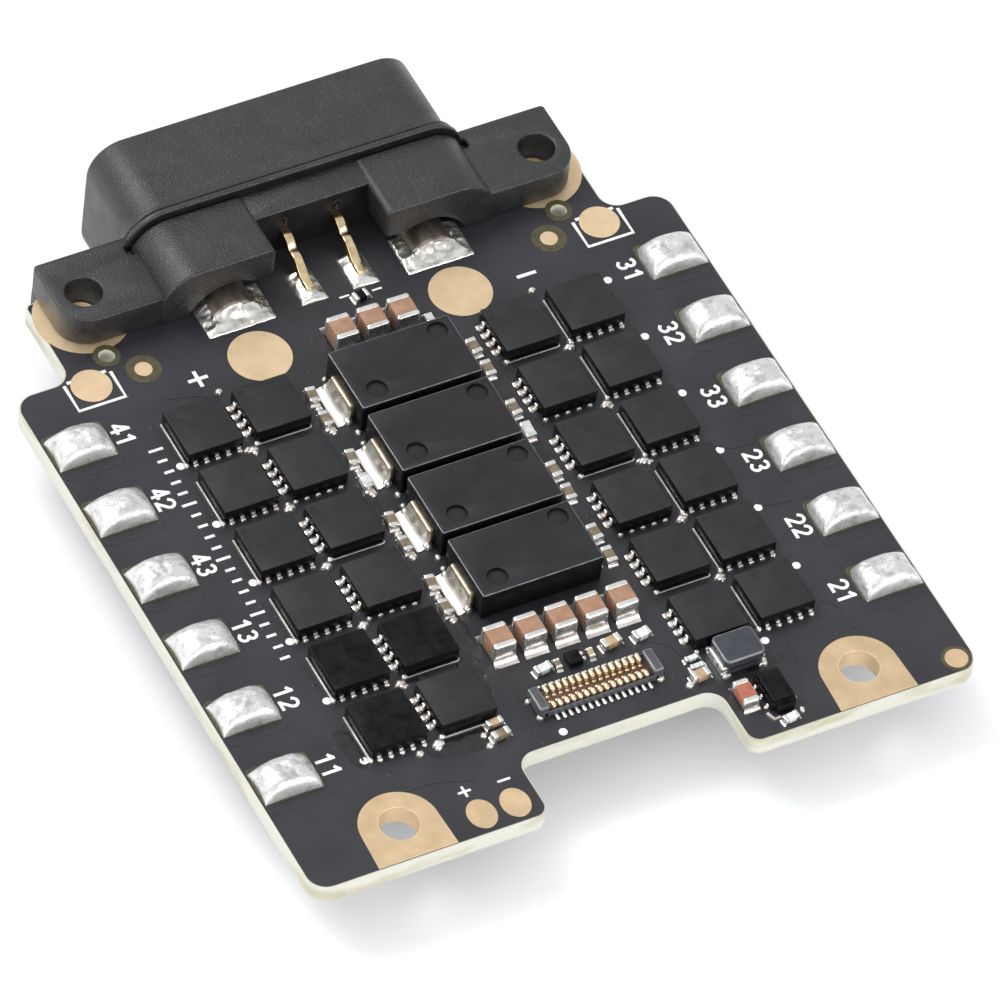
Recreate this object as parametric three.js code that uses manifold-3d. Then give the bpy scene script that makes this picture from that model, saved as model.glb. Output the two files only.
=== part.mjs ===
// Four-in-one electronic speed controller: a bare circuit board that carries the power stages of four
// motors, with a straddling battery connector at the rear. Millimetres, +Z up, +Y towards the connector.
// Inside the board group, x = 0 is the centreline, y = 0 the line through the two front mounting holes,
// and z = 0 the board's top surface.

import * as THREE from 'three';
import { mergeVertices } from 'three/addons/utils/BufferGeometryUtils.js';
import Module from 'manifold-3d';

const wasm = await Module();
wasm.setup();

// ---- Driving dimensions: board ----
const BOARD_THICKNESS = 1.2;
const BOARD_HALF_WIDTH = 20.05;
const BOARD_FRONT_Y = -2.45;
const SHOULDER_Y = 34.55;
const TAIL_HALF_WIDTH = 16.5;
const BOARD_REAR_Y = 40.45;
const NOTCH_HALF_WIDTH = 6.05;
const NOTCH_Y = 1.6;
const OUTER_CORNER_RADIUS = 1.2;
const INNER_CORNER_RADIUS = 1.0;
const NOTCH_MOUTH_RADIUS = 0.8;
const TAIL_CORNER_RADIUS = 0.4;

const MOUNT_HOLE = { x: 13.85, y: 0, radius: 1.15 };
const EAR_HOLE = { x: 13.91, y: 38.56, radius: 1.03 };
const LOCATING_HOLE = { x: 13.9, y: 35.42, radius: 0.45 };

// ---- Driving dimensions: power stages ----
const MOSFET = { width: 3.3, length: 3.3, height: 0.85 };
const MOSFET_COLUMNS = { left_outer: -11.6, left_inner: -7.45, right_inner: 7.77, right_outer: 11.8 };
const MOSFET_ROWS = 6;
const MOSFET_REAR_Y = 28.3;
const MOSFET_PITCH = 4.44;

const MOTOR_PAD = { x: 18.1, length: 3.5, width: 2.45, height: 1.15, swell: 1.5 };
const MOTOR_PADS_PER_SIDE = 6;
const MOTOR_PAD_REAR_Y = 30.04;
const MOTOR_PAD_PITCH = 5.0;

// ---- Driving dimensions: capacitors ----
const BULK = { x: 0.15, rearY: 27.4, pitch: 4.8, length: 7.3, width: 4.3, height: 1.9, count: 4 };
const BULK_TERMINAL = { width: 2.6, height: 1.1, leftReach: 0.9, rightReach: 0.35 };
const CERAMIC = { width: 1.38, length: 1.7, height: 1.35, pitch: 1.85 };
const FRONT_CERAMICS = { x: 0.08, y: 8.62, count: 5 };
const REAR_CERAMICS = { x: 0.28, y: 31.5, count: 3 };
const INPUT_CERAMIC = { x: 7.08, y: 0.42, width: 0.95, length: 1.65, height: 0.85 };

// ---- Driving dimensions: logic supply, control connector and controllers ----
const INDUCTOR = { x: 8.0, y: 3.13, length: 2.45, width: 2.0, height: 1.2, radius: 0.35 };
const INDUCTOR_BASE = { length: 2.75, width: 1.9, height: 0.25 };
const REGULATOR = { x: 8.75, y: 0.22, width: 1.5, length: 2.2, height: 0.8 };
const CONTROL = { x: 0, y: 4.25, length: 7.5, width: 1.7, height: 0.8, wall: 0.28, end: 0.6, floor: 0.25 };
const CONTROLLER = { x: 9.5, y: 14, width: 7, length: 7, height: 0.9 };

// ---- Driving dimensions: battery connector ----
const SHROUD = { halfWidth: 9.9, halfHeight: 4.3, radius: 2.1, rearY: 46.65, wall: 0.9 };
const SHROUD_AXIS_Z = -0.65;
const SOCKET_FLOOR_Y = 42.2;
const FLANGE = { halfWidth: 10.35, halfHeight: 4.45, radius: 2.3, frontY: 40.6, rearY: 41.4 };
const HOOD = { halfWidth: 10.2, innerX: 3.4, top: 3.4, radius: 2.2, frontY: 36.25, rearY: 38.7 };
const HOOD_FOOT = { z: 1.3, radius: 0.5 };
const HOOD_INNER_RADIUS = 0.4;
const ARCH = { x: 6.1, z: -0.85, radius: 2.5, rearY: 40.2 };
const EAR = { outerX: 15.7, top: 2.04, frontY: 36.4, rearY: 41.3, radius: 1.85, rearRadius: 0.2 };
const EAR_LIP_DROP = 1.1;
const LOWER_BASE = { frontY: 38.3, bottom: -4.6, radius: 2.0 };
const POWER_CONTACT = { x: 6.1, radius: 1.6, frontY: 35.2, rearY: 45.9, clearance: 0.3 };
const CONTACT_NOSE = { length: 0.7, shoulderRadius: 1.2, shoulderLength: 0.175, tipRadius: 0.64 };
const SIGNAL_PIN = { x: 1.58, width: 0.55, thickness: 0.4, z: 1.2, clearance: 0.2 };
const SIGNAL_PIN_ROUTE = { rearY: 45.2, bendY: 38.2, footY: 36.6, tipY: 34.9, setback: 0.2 };
const SIGNAL_PIN_BEND = { radius: 0.3, crestRadius: 0.4 };

// ---- Frame: the origin is the centre of the underside of the whole part's box ----
const ORIGIN_Y = (BOARD_FRONT_Y + SHROUD.rearY) / 2;
const ORIGIN_Z = SHROUD_AXIS_Z - FLANGE.halfHeight;

// ---- Facets of round stretches ----
const ARC_STEPS = 8;
const HOLE_STEPS = 16;
const PIN_STEPS = 24;
const DOME_STEPS = { around: 20, down: 10 };
const WELD_DISTANCE = 1e-5;

// ---- How far joined pieces run into each other, and cuts run past a face, so no two faces coincide ----
const CUT_MARGIN = 0.5;
const TRIM = 0.3;
const STEP = 0.1;
const EMBED = 1;

const part = new THREE.Group();
part.position.set(0, -ORIGIN_Y, -ORIGIN_Z);

// ---- Finishes ----
const finish = (color, roughness, metalness = 0) => () =>
  new THREE.MeshStandardMaterial({ color, roughness, metalness });
const solderMask = finish(0x2b2b30, 0.45);
const mosfetEpoxy = finish(0x303032, 0.6);
const capacitorEpoxy = finish(0x2a2a2c, 0.5);
const ceramicBrown = finish(0xa8805f, 0.45);
const ceramicRed = finish(0xa9644e, 0.45);
const solder = finish(0xd8d8d6, 0.3, 0.9);
const connectorPlastic = finish(0x353537, 0.65);
const goldPlate = finish(0xd9b980, 0.3, 0.9);
const ferrite = finish(0x474b53, 0.5);
const controllerEpoxy = finish(0x29292b, 0.55);

// ---- Solid helpers ----
function solidOf(geometry) {
  const bare = geometry.clone();
  bare.deleteAttribute('normal');
  bare.deleteAttribute('uv');
  const welded = mergeVertices(bare, WELD_DISTANCE);
  return new wasm.Manifold(new wasm.Mesh({
    numProp: 3,
    vertProperties: new Float32Array(welded.attributes.position.array),
    triVerts: new Uint32Array(welded.index.array),
  }));
}

function geometryOf(solid) {
  const mesh = solid.getMesh();
  const geometry = new THREE.BufferGeometry();
  geometry.setAttribute('position', new THREE.BufferAttribute(mesh.vertProperties, 3));
  geometry.setIndex(new THREE.BufferAttribute(mesh.triVerts, 1));
  const facets = geometry.toNonIndexed();
  facets.computeVertexNormals();
  return facets;
}

function addPiece(name, geometry, material, x = 0, y = 0, z = 0) {
  const mesh = new THREE.Mesh(geometry, material());
  mesh.name = name;
  mesh.position.set(x, y, z);
  part.add(mesh);
}

// A box between two corners.
function block(x0, x1, y0, y1, z0, z1) {
  const box = new THREE.BoxGeometry(x1 - x0, y1 - y0, z1 - z0);
  return box.translate((x0 + x1) / 2, (y0 + y1) / 2, (z0 + z1) / 2);
}

// A closed outline whose corners, each [x, y, radius], are rounded with arcs.
function roundedOutline(corners) {
  const shape = new THREE.Shape();
  corners.forEach(([x, y, radius], i) => {
    const [px, py] = corners[(i + corners.length - 1) % corners.length];
    const [nx, ny] = corners[(i + 1) % corners.length];
    const into = new THREE.Vector2(x - px, y - py).normalize();
    const out = new THREE.Vector2(nx - x, ny - y).normalize();
    const turn = Math.atan2(into.cross(out), into.dot(out));
    const reach = radius * Math.tan(Math.abs(turn) / 2);
    const side = Math.sign(turn);
    const start = new THREE.Vector2(x, y).addScaledVector(into, -reach);
    if (i === 0) shape.moveTo(start.x, start.y);
    else shape.lineTo(start.x, start.y);
    if (radius === 0) return;
    const centre = new THREE.Vector2(start.x - into.y * side * radius, start.y + into.x * side * radius);
    const angle = Math.atan2(start.y - centre.y, start.x - centre.x);
    shape.absarc(centre.x, centre.y, radius, angle, angle + turn, turn < 0);
  });
  shape.closePath();
  return shape;
}

function roundedRectangle(x0, x1, y0, y1, radius) {
  return roundedOutline([[x0, y0, radius], [x1, y0, radius], [x1, y1, radius], [x0, y1, radius]]);
}

function circle(x, y, radius, path = new THREE.Path()) {
  return path.absarc(x, y, radius, 0, Math.PI * 2, false);
}

function disc(x, y, radius) {
  return circle(x, y, radius, new THREE.Shape());
}

// Extrudes a plan outline from z0 up to z1.
function extrudeUp(shape, z0, z1, steps = ARC_STEPS) {
  const options = { depth: z1 - z0, bevelEnabled: false, curveSegments: steps };
  return new THREE.ExtrudeGeometry(shape, options).translate(0, 0, z0);
}

// Extrudes a front-view outline, drawn as x and z, from y0 back to y1.
function extrudeBack(shape, y0, y1, steps = ARC_STEPS) {
  const options = { depth: y1 - y0, bevelEnabled: false, curveSegments: steps };
  return new THREE.ExtrudeGeometry(shape, options).rotateX(Math.PI / 2).translate(0, y1, 0);
}

// Extrudes a side-view outline, drawn as y and z, across x by the given width, centred on x = 0.
function extrudeAcross(shape, width) {
  const options = { depth: width, bevelEnabled: false, curveSegments: ARC_STEPS };
  const geometry = new THREE.ExtrudeGeometry(shape, options).translate(0, 0, -width / 2);
  return geometry.rotateX(Math.PI / 2).rotateZ(Math.PI / 2);
}

// ---- Circuit board ----
function boardGeometry() {
  const outline = roundedOutline([
    [-BOARD_HALF_WIDTH, BOARD_FRONT_Y, OUTER_CORNER_RADIUS],
    [-NOTCH_HALF_WIDTH, BOARD_FRONT_Y, NOTCH_MOUTH_RADIUS],
    [-NOTCH_HALF_WIDTH, NOTCH_Y, INNER_CORNER_RADIUS],
    [NOTCH_HALF_WIDTH, NOTCH_Y, INNER_CORNER_RADIUS],
    [NOTCH_HALF_WIDTH, BOARD_FRONT_Y, NOTCH_MOUTH_RADIUS],
    [BOARD_HALF_WIDTH, BOARD_FRONT_Y, OUTER_CORNER_RADIUS],
    [BOARD_HALF_WIDTH, SHOULDER_Y, OUTER_CORNER_RADIUS],
    [TAIL_HALF_WIDTH, SHOULDER_Y, INNER_CORNER_RADIUS],
    [TAIL_HALF_WIDTH, BOARD_REAR_Y, TAIL_CORNER_RADIUS],
    [-TAIL_HALF_WIDTH, BOARD_REAR_Y, TAIL_CORNER_RADIUS],
    [-TAIL_HALF_WIDTH, SHOULDER_Y, INNER_CORNER_RADIUS],
    [-BOARD_HALF_WIDTH, SHOULDER_Y, OUTER_CORNER_RADIUS],
  ]);
  for (const { x, y, radius } of [MOUNT_HOLE, EAR_HOLE, LOCATING_HOLE]) {
    outline.holes.push(circle(x, y, radius), circle(-x, y, radius));
  }
  return extrudeUp(outline, -BOARD_THICKNESS, 0);
}

// ---- Motor solder: a pillow of solder on each edge pad, steep at the sides and low at the corners ----
function motorSolderGeometry() {
  const { length, width, height, swell } = MOTOR_PAD;
  const dome = new THREE.SphereGeometry(1, DOME_STEPS.around, DOME_STEPS.down);
  dome.rotateX(Math.PI / 2).scale(length / 2 * swell, width / 2 * swell, height);
  const bounds = block(-length / 2, length / 2, -width / 2, width / 2, 0, height + CUT_MARGIN);
  return geometryOf(solidOf(dome).intersect(solidOf(bounds)));
}

// ---- Bulk capacitor: a moulded block with a folded terminal at each end ----
function bulkCapacitorGeometry() {
  const { length, width, height } = BULK;
  const { leftReach, rightReach } = BULK_TERMINAL;
  const halfTerminal = BULK_TERMINAL.width / 2;
  const body = block(-length / 2, length / 2, -width / 2, width / 2, 0, height);
  const terminals = block(-length / 2 - leftReach, length / 2 + rightReach,
    -halfTerminal, halfTerminal, 0, BULK_TERMINAL.height);
  return geometryOf(solidOf(body).add(solidOf(terminals)));
}

// ---- Chip: a plain rectangular package that stands on z = 0 ----
function chipGeometry({ width, length, height }) {
  return block(-width / 2, width / 2, -length / 2, length / 2, 0, height);
}

function addCeramicRow(prefix, row) {
  for (let i = 0; i < row.count; i += 1) {
    const x = row.x + (i - (row.count - 1) / 2) * CERAMIC.pitch;
    addPiece(`${prefix}_${i + 1}`, chipGeometry(CERAMIC), ceramicBrown, x, row.y);
  }
}

// ---- Power inductor: a rounded moulded body on a slightly longer terminal base ----
function inductorGeometry() {
  const { length, width, height, radius } = INDUCTOR;
  const body = roundedRectangle(-length / 2, length / 2, -width / 2, width / 2, radius);
  const base = block(-INDUCTOR_BASE.length / 2, INDUCTOR_BASE.length / 2,
    -INDUCTOR_BASE.width / 2, INDUCTOR_BASE.width / 2, 0, INDUCTOR_BASE.height);
  return geometryOf(solidOf(extrudeUp(body, INDUCTOR_BASE.height / 2, height)).add(solidOf(base)));
}

// ---- Board-to-board connector: a low frame around a trough for the two contact rows ----
function controlConnectorGeometry() {
  const { length, width, height, wall, end, floor } = CONTROL;
  const body = block(-length / 2, length / 2, -width / 2, width / 2, 0, height);
  const trough = block(-length / 2 + end, length / 2 - end, -width / 2 + wall, width / 2 - wall,
    floor, height + CUT_MARGIN);
  return geometryOf(solidOf(body).subtract(solidOf(trough)));
}

// ---- Battery connector housing ----
function shroudSection(halfWidth, halfHeight, radius) {
  const bottom = SHROUD_AXIS_Z - halfHeight;
  const top = SHROUD_AXIS_Z + halfHeight;
  return roundedRectangle(-halfWidth, halfWidth, bottom, top, radius);
}

// The hood over one power contact, seen from the front: side is -1 on the left and 1 on the right.
function hoodSection(side) {
  const corners = [
    [HOOD.innerX, HOOD_FOOT.z, HOOD_FOOT.radius],
    [ARCH.x, HOOD_FOOT.z, 0],
    [ARCH.x, 0, 0],
    [HOOD.halfWidth, 0, 0],
    [HOOD.halfWidth, HOOD.top, HOOD.radius],
    [HOOD.innerX, HOOD.top, HOOD_INNER_RADIUS],
  ].map(([x, z, radius]) => [x * side, z, radius]);
  return roundedOutline(side > 0 ? corners : corners.reverse());
}

function earOutline(side) {
  const corners = [
    [HOOD.innerX + EMBED, EAR.frontY, 0],
    [EAR.outerX, EAR.frontY, EAR.radius],
    [EAR.outerX, EAR.rearY, EAR.rearRadius],
    [HOOD.innerX + EMBED, EAR.rearY, 0],
  ].map(([x, y, radius]) => [x * side, y, radius]);
  return roundedOutline(side > 0 ? corners : corners.reverse());
}

// The upper pieces reach a little below the board's surface and the lower base a little above its
// underside. One slot for the board's tail then trims them all flush.
function housingGeometry() {
  const shroud = shroudSection(SHROUD.halfWidth, SHROUD.halfHeight, SHROUD.radius);
  const flange = shroudSection(FLANGE.halfWidth, FLANGE.halfHeight, FLANGE.radius);
  const inner = shroudSection(SHROUD.halfWidth - SHROUD.wall, SHROUD.halfHeight - SHROUD.wall,
    SHROUD.radius - SHROUD.wall);
  const lowerBase = roundedOutline([
    [-HOOD.halfWidth, LOWER_BASE.bottom, LOWER_BASE.radius],
    [HOOD.halfWidth, LOWER_BASE.bottom, LOWER_BASE.radius],
    [HOOD.halfWidth, TRIM - BOARD_THICKNESS, 0],
    [-HOOD.halfWidth, TRIM - BOARD_THICKNESS, 0],
  ]);
  const insideFlange = (FLANGE.frontY + FLANGE.rearY) / 2;
  const bridgeHalf = HOOD.innerX + EMBED;
  const bridge = block(-bridgeHalf, bridgeHalf, HOOD.rearY, insideFlange, -TRIM, HOOD.top - STEP);
  const wallHalf = HOOD.halfWidth - EMBED;
  const backWall = block(-wallHalf, wallHalf, HOOD.rearY + TRIM, insideFlange,
    -TRIM, HOOD_FOOT.z + TRIM);

  let body = solidOf(extrudeBack(flange, FLANGE.frontY, FLANGE.rearY))
    .add(solidOf(extrudeBack(shroud, insideFlange, SHROUD.rearY)))
    .add(solidOf(extrudeBack(lowerBase, LOWER_BASE.frontY, insideFlange)))
    .add(solidOf(bridge))
    .add(solidOf(backWall));
  for (const side of [-1, 1]) {
    body = body
      .add(solidOf(extrudeBack(hoodSection(side), HOOD.frontY, insideFlange)))
      .add(solidOf(extrudeUp(earOutline(side), -EAR_LIP_DROP, EAR.top)));
  }

  const boardSlot = block(-TAIL_HALF_WIDTH - EMBED, TAIL_HALF_WIDTH + EMBED,
    HOOD.frontY - EMBED, FLANGE.frontY + STEP, -BOARD_THICKNESS, 0);
  const socket = extrudeBack(inner, SOCKET_FLOOR_Y, SHROUD.rearY + CUT_MARGIN);
  body = body.subtract(solidOf(boardSlot)).subtract(solidOf(socket));

  const aboveBoard = solidOf(block(-HOOD.halfWidth, HOOD.halfWidth, 0, SHROUD.rearY, -TRIM, HOOD.top));
  const boreRadius = POWER_CONTACT.radius + POWER_CONTACT.clearance;
  const slotHalf = SIGNAL_PIN.width / 2 + SIGNAL_PIN.clearance;
  const slotBottom = SIGNAL_PIN.z - SIGNAL_PIN.clearance;
  const slotTop = SIGNAL_PIN.z + SIGNAL_PIN.thickness + SIGNAL_PIN.clearance;
  for (const side of [-1, 1]) {
    const archOutline = disc(ARCH.x * side, ARCH.z, ARCH.radius);
    const arch = extrudeBack(archOutline, HOOD.frontY - CUT_MARGIN, ARCH.rearY, HOLE_STEPS);
    const boreOutline = disc(POWER_CONTACT.x * side, SHROUD_AXIS_Z, boreRadius);
    const bore = extrudeBack(boreOutline, ARCH.rearY - STEP, SOCKET_FLOOR_Y + CUT_MARGIN, HOLE_STEPS);
    const pinX = SIGNAL_PIN.x * side;
    const pinSlot = block(pinX - slotHalf, pinX + slotHalf,
      HOOD.rearY - CUT_MARGIN, SOCKET_FLOOR_Y + CUT_MARGIN, slotBottom, slotTop);
    const earHole = disc(EAR_HOLE.x * side, EAR_HOLE.y, EAR_HOLE.radius);
    body = body
      .subtract(solidOf(arch).intersect(aboveBoard))
      .subtract(solidOf(bore))
      .subtract(solidOf(pinSlot))
      .subtract(solidOf(extrudeUp(earHole, -CUT_MARGIN, EAR.top + CUT_MARGIN)));
  }
  return geometryOf(body);
}

// ---- Power contact: a round pin in the socket whose front half-round tail lies on the board ----
function powerContactGeometry() {
  const { radius, frontY, rearY } = POWER_CONTACT;
  const profile = [
    [0, frontY],
    [radius, frontY],
    [radius, rearY - CONTACT_NOSE.length],
    [CONTACT_NOSE.shoulderRadius, rearY - CONTACT_NOSE.shoulderLength],
    [CONTACT_NOSE.tipRadius, rearY],
    [0, rearY],
  ].map(([r, y]) => new THREE.Vector2(r, y));
  const pin = new THREE.LatheGeometry(profile, PIN_STEPS).translate(0, 0, SHROUD_AXIS_Z);
  const underTail = block(-radius - EMBED, radius + EMBED, frontY - CUT_MARGIN, FLANGE.frontY,
    SHROUD_AXIS_Z - radius - EMBED, 0);
  return geometryOf(solidOf(pin).subtract(solidOf(underTail)));
}

// ---- Signal pin: straight through the housing, then bent down to a foot on the board ----
function signalPinGeometry() {
  const { width, thickness, z } = SIGNAL_PIN;
  const { rearY, bendY, footY, tipY, setback } = SIGNAL_PIN_ROUTE;
  const { radius, crestRadius } = SIGNAL_PIN_BEND;
  const side = roundedOutline([
    [tipY, 0, 0],
    [footY, 0, radius],
    [bendY, z, radius],
    [rearY, z, 0],
    [rearY, z + thickness, 0],
    [bendY - setback, z + thickness, crestRadius],
    [footY - setback, thickness, radius],
    [tipY, thickness, 0],
  ]);
  return extrudeAcross(side, width);
}

// ---- Assembly ----
addPiece('circuit_board', boardGeometry(), solderMask);

for (const [column, x] of Object.entries(MOSFET_COLUMNS)) {
  for (let row = 0; row < MOSFET_ROWS; row += 1) {
    addPiece(`mosfet_${column}_${row + 1}`, chipGeometry(MOSFET), mosfetEpoxy,
      x, MOSFET_REAR_Y - row * MOSFET_PITCH);
  }
}

for (const [side, sign] of [['left', -1], ['right', 1]]) {
  for (let i = 0; i < MOTOR_PADS_PER_SIDE; i += 1) {
    addPiece(`motor_solder_${side}_${i + 1}`, motorSolderGeometry(), solder,
      sign * MOTOR_PAD.x, MOTOR_PAD_REAR_Y - i * MOTOR_PAD_PITCH);
  }
}

for (let i = 0; i < BULK.count; i += 1) {
  addPiece(`bulk_capacitor_${i + 1}`, bulkCapacitorGeometry(), capacitorEpoxy,
    BULK.x, BULK.rearY - i * BULK.pitch);
}

addCeramicRow('front_ceramic_capacitor', FRONT_CERAMICS);
addCeramicRow('rear_ceramic_capacitor', REAR_CERAMICS);
addPiece('input_ceramic_capacitor', chipGeometry(INPUT_CERAMIC), ceramicRed,
  INPUT_CERAMIC.x, INPUT_CERAMIC.y);

addPiece('regulator_inductor', inductorGeometry(), ferrite, INDUCTOR.x, INDUCTOR.y);
addPiece('regulator_ic', chipGeometry(REGULATOR), controllerEpoxy, REGULATOR.x, REGULATOR.y);
addPiece('control_connector', controlConnectorGeometry(), connectorPlastic, CONTROL.x, CONTROL.y);

for (const [side, sign] of [['left', -1], ['right', 1]]) {
  addPiece(`motor_controller_${side}`, chipGeometry(CONTROLLER), controllerEpoxy,
    sign * CONTROLLER.x, CONTROLLER.y, -BOARD_THICKNESS - CONTROLLER.height);
}

addPiece('battery_connector_housing', housingGeometry(), connectorPlastic);
for (const [side, sign] of [['left', -1], ['right', 1]]) {
  addPiece(`power_contact_${side}`, powerContactGeometry(), goldPlate, sign * POWER_CONTACT.x);
  addPiece(`signal_pin_${side}`, signalPinGeometry(), goldPlate, sign * SIGNAL_PIN.x);
}

export default part;
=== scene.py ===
import math
import random

import bmesh
import bpy
from mathutils import Matrix, Vector, noise
from mathutils.geometry import tessellate_polygon


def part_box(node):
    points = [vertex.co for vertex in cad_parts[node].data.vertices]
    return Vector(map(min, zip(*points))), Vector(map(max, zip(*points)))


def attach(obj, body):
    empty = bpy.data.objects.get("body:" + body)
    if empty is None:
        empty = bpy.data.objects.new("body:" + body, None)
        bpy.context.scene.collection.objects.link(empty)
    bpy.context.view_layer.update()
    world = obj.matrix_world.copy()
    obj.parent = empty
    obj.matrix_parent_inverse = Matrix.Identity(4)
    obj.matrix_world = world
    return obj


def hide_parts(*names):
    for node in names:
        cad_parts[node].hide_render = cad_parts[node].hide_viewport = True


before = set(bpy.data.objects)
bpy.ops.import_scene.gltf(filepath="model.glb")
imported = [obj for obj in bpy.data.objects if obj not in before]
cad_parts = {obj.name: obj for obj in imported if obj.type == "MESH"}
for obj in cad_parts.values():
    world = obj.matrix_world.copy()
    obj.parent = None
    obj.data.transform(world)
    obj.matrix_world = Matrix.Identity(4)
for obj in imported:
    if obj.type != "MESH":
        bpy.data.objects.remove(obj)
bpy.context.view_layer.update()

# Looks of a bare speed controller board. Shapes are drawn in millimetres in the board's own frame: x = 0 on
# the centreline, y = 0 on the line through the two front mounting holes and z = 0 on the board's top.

MM = 0.001
random.seed(7)

# ---- Driving dimensions of the board ----
HOLE_LINE_FROM_FRONT = 2.45
BOARD_LOW, BOARD_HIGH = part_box("circuit_board")
ORIGIN = Vector((0, BOARD_LOW.y + HOLE_LINE_FROM_FRONT * MM, BOARD_HIGH.z))
HALF_WIDTH = BOARD_HIGH.x / MM
FRONT_Y = -HOLE_LINE_FROM_FRONT
REAR_Y = (BOARD_HIGH.y - ORIGIN.y) / MM
THICKNESS = (BOARD_HIGH.z - BOARD_LOW.z) / MM
SHOULDER_Y = 34.55
TAIL_HALF_WIDTH = 16.5
NOTCH_HALF_WIDTH = 6.05
NOTCH_Y = 1.6
MASK_THICKNESS = 0.04
MASK_PULLBACK = 0.09
SIDES = (("left", -1), ("right", 1))
SIGNS = (-1, 1)

# The right-hand hole of each pair: x, y and radius.
MOUNT_HOLE = (13.85, 0.0, 1.15)
EAR_HOLE = (13.91, 38.56, 1.03)
LOCATING_HOLE = (13.9, 35.42, 0.45)

# What lies flat on the board starts at SUNK, just below its surface. The others are the heights of ink and
# of gold pads, and the radius of a gold pad's rim.
SUNK = -0.01
INK_TOP = 0.022
FOIL = 0.025
FOIL_EDGE = 0.01


def local(node):
    """The lowest and highest corners of a CAD node, in millimetres of the board's frame."""
    low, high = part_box(node)
    return (low - ORIGIN) / MM, (high - ORIGIN) / MM


def placed(x, y, z=0.0, degrees=0.0):
    """The matrix that turns a shape about its upright axis and then moves it."""
    return Matrix.Translation((x, y, z)) @ Matrix.Rotation(math.radians(degrees), 4, "Z")


UPSIDE_DOWN = Matrix.Rotation(math.pi, 4, "X")


def add_object(name, data):
    thing = bpy.data.objects.new(name, data)
    bpy.context.scene.collection.objects.link(thing)
    return thing


# ---- Materials ----
def surface(name, dark, light, spot=0.6, rough=(0.3, 0.42), metal=0.0, bump=0.004, grain=0.1,
            stretch=(1, 1, 1), contrast=(0.35, 0.65), specular=0.5, layer=None):
    """A procedural finish. spot is the size in millimetres of the colour patches between dark and light.
    grain and bump are the width and depth of the fine relief. layer, (tint, low, high), adds a speckle."""
    material = bpy.data.materials.new(name)
    material.use_nodes = True
    nodes = material.node_tree.nodes
    link = material.node_tree.links.new
    shader = nodes["Principled BSDF"]
    shader.inputs["Metallic"].default_value = metal
    shader.inputs["Specular IOR Level"].default_value = specular

    def node(kind, **values):
        """A new node with inputs set. An underscore in an input's name stands for a space."""
        made = nodes.new("ShaderNode" + kind)
        for key, value in values.items():
            made.inputs[key.replace("_", " ")].default_value = value
        return made

    where = node("TexCoord")
    mapping = node("Mapping", Scale=stretch)
    link(where.outputs["Object"], mapping.inputs["Vector"])

    def cloud(size, detail):
        texture = node("TexNoise", Scale=1 / (size * MM), Detail=detail)
        link(mapping.outputs["Vector"], texture.inputs["Vector"])
        return texture.outputs["Fac"]

    patches = cloud(spot, 5.0)
    ramp = node("ValToRGB")
    for stop, position, color in zip(ramp.color_ramp.elements, contrast, (dark, light)):
        stop.position = position
        stop.color = (*color, 1)
    link(patches, ramp.inputs["Fac"])
    color = ramp.outputs["Color"]
    if layer:
        tint, low, high = layer
        speckle = node("MapRange", From_Min=low, From_Max=high)
        link(cloud(grain, 2.0), speckle.inputs["Value"])
        mix = node("Mix")
        mix.data_type = "RGBA"
        link(speckle.outputs["Result"], mix.inputs["Factor"])
        link(color, mix.inputs["A"])
        mix.inputs["B"].default_value = (*tint, 1)
        color = mix.outputs["Result"]
    link(color, shader.inputs["Base Color"])

    shine = node("MapRange", From_Min=0.3, From_Max=0.7, To_Min=rough[0], To_Max=rough[1])
    link(cloud(spot * 0.6, 5.0), shine.inputs["Value"])
    link(shine.outputs["Result"], shader.inputs["Roughness"])
    if bump:
        relief = node("Bump", Strength=1.0, Distance=bump * MM)
        link(cloud(grain, 3.0), relief.inputs["Height"])
        link(relief.outputs["Normal"], shader.inputs["Normal"])
    return material


MASK = surface(
    "solder_mask", (0.018, 0.018, 0.022), (0.026, 0.026, 0.031), 3.0, (0.36, 0.46), grain=0.5, specular=0.45)
LAMINATE = surface(
    "glass_epoxy", (0.41, 0.375, 0.25), (0.57, 0.57, 0.495), 2.6, (0.5, 0.65), bump=0.012, grain=0.12,
    stretch=(0.6, 0.6, 2.2), contrast=(0.26, 0.5), layer=((0.66, 0.66, 0.6), 0.6, 0.85))
INK = surface("screen_ink", (0.76, 0.76, 0.75), (0.88, 0.88, 0.87), 0.4, (0.55, 0.7), grain=0.08)
GOLD = surface(
    "gold_plate", (0.74, 0.555, 0.345), (0.8, 0.61, 0.39), 0.9, (0.36, 0.48), metal=0.7, bump=0.003,
    grain=0.09, layer=((0.52, 0.35, 0.19), 0.7, 0.86))
DULL_GOLD = surface(
    "handled_gold", (0.6, 0.44, 0.265), (0.7, 0.525, 0.325), 1.3, (0.4, 0.5), metal=0.7, bump=0.003,
    layer=((0.48, 0.33, 0.18), 0.7, 0.86))
BRIGHT_GOLD = surface(
    "contact_gold", (0.62, 0.44, 0.23), (0.9, 0.72, 0.45), rough=(0.14, 0.24), metal=1.0, bump=0.002,
    grain=0.3)
SOLDER = surface(
    "solder_joint", (0.66, 0.59, 0.54), (0.9, 0.87, 0.84), 0.7, (0.22, 0.34), metal=0.85, bump=0.002,
    grain=0.4)
SMOOTH_SOLDER = surface(
    "smooth_solder", (0.66, 0.62, 0.55), (0.93, 0.92, 0.89), 0.9, (0.2, 0.34), metal=0.85, grain=0.5,
    stretch=(2.0, 0.6, 1.0))
# Rounded rims painted far lighter than their bodies: partly wear on the edges, partly a painted highlight
# along them.
WORN_EDGE_PAINTED_SHEEN = surface(
    "worn_edge_painted_sheen", (0.1, 0.1, 0.105), (0.2, 0.2, 0.21), 0.5, (0.2, 0.34), bump=0.003, grain=0.12, specular=0.8)
FLUX = surface(
    "flux_residue", (0.01, 0.01, 0.012), (0.02, 0.019, 0.02), 0.5, (0.08, 0.2), bump=0.02, grain=0.35)
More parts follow.
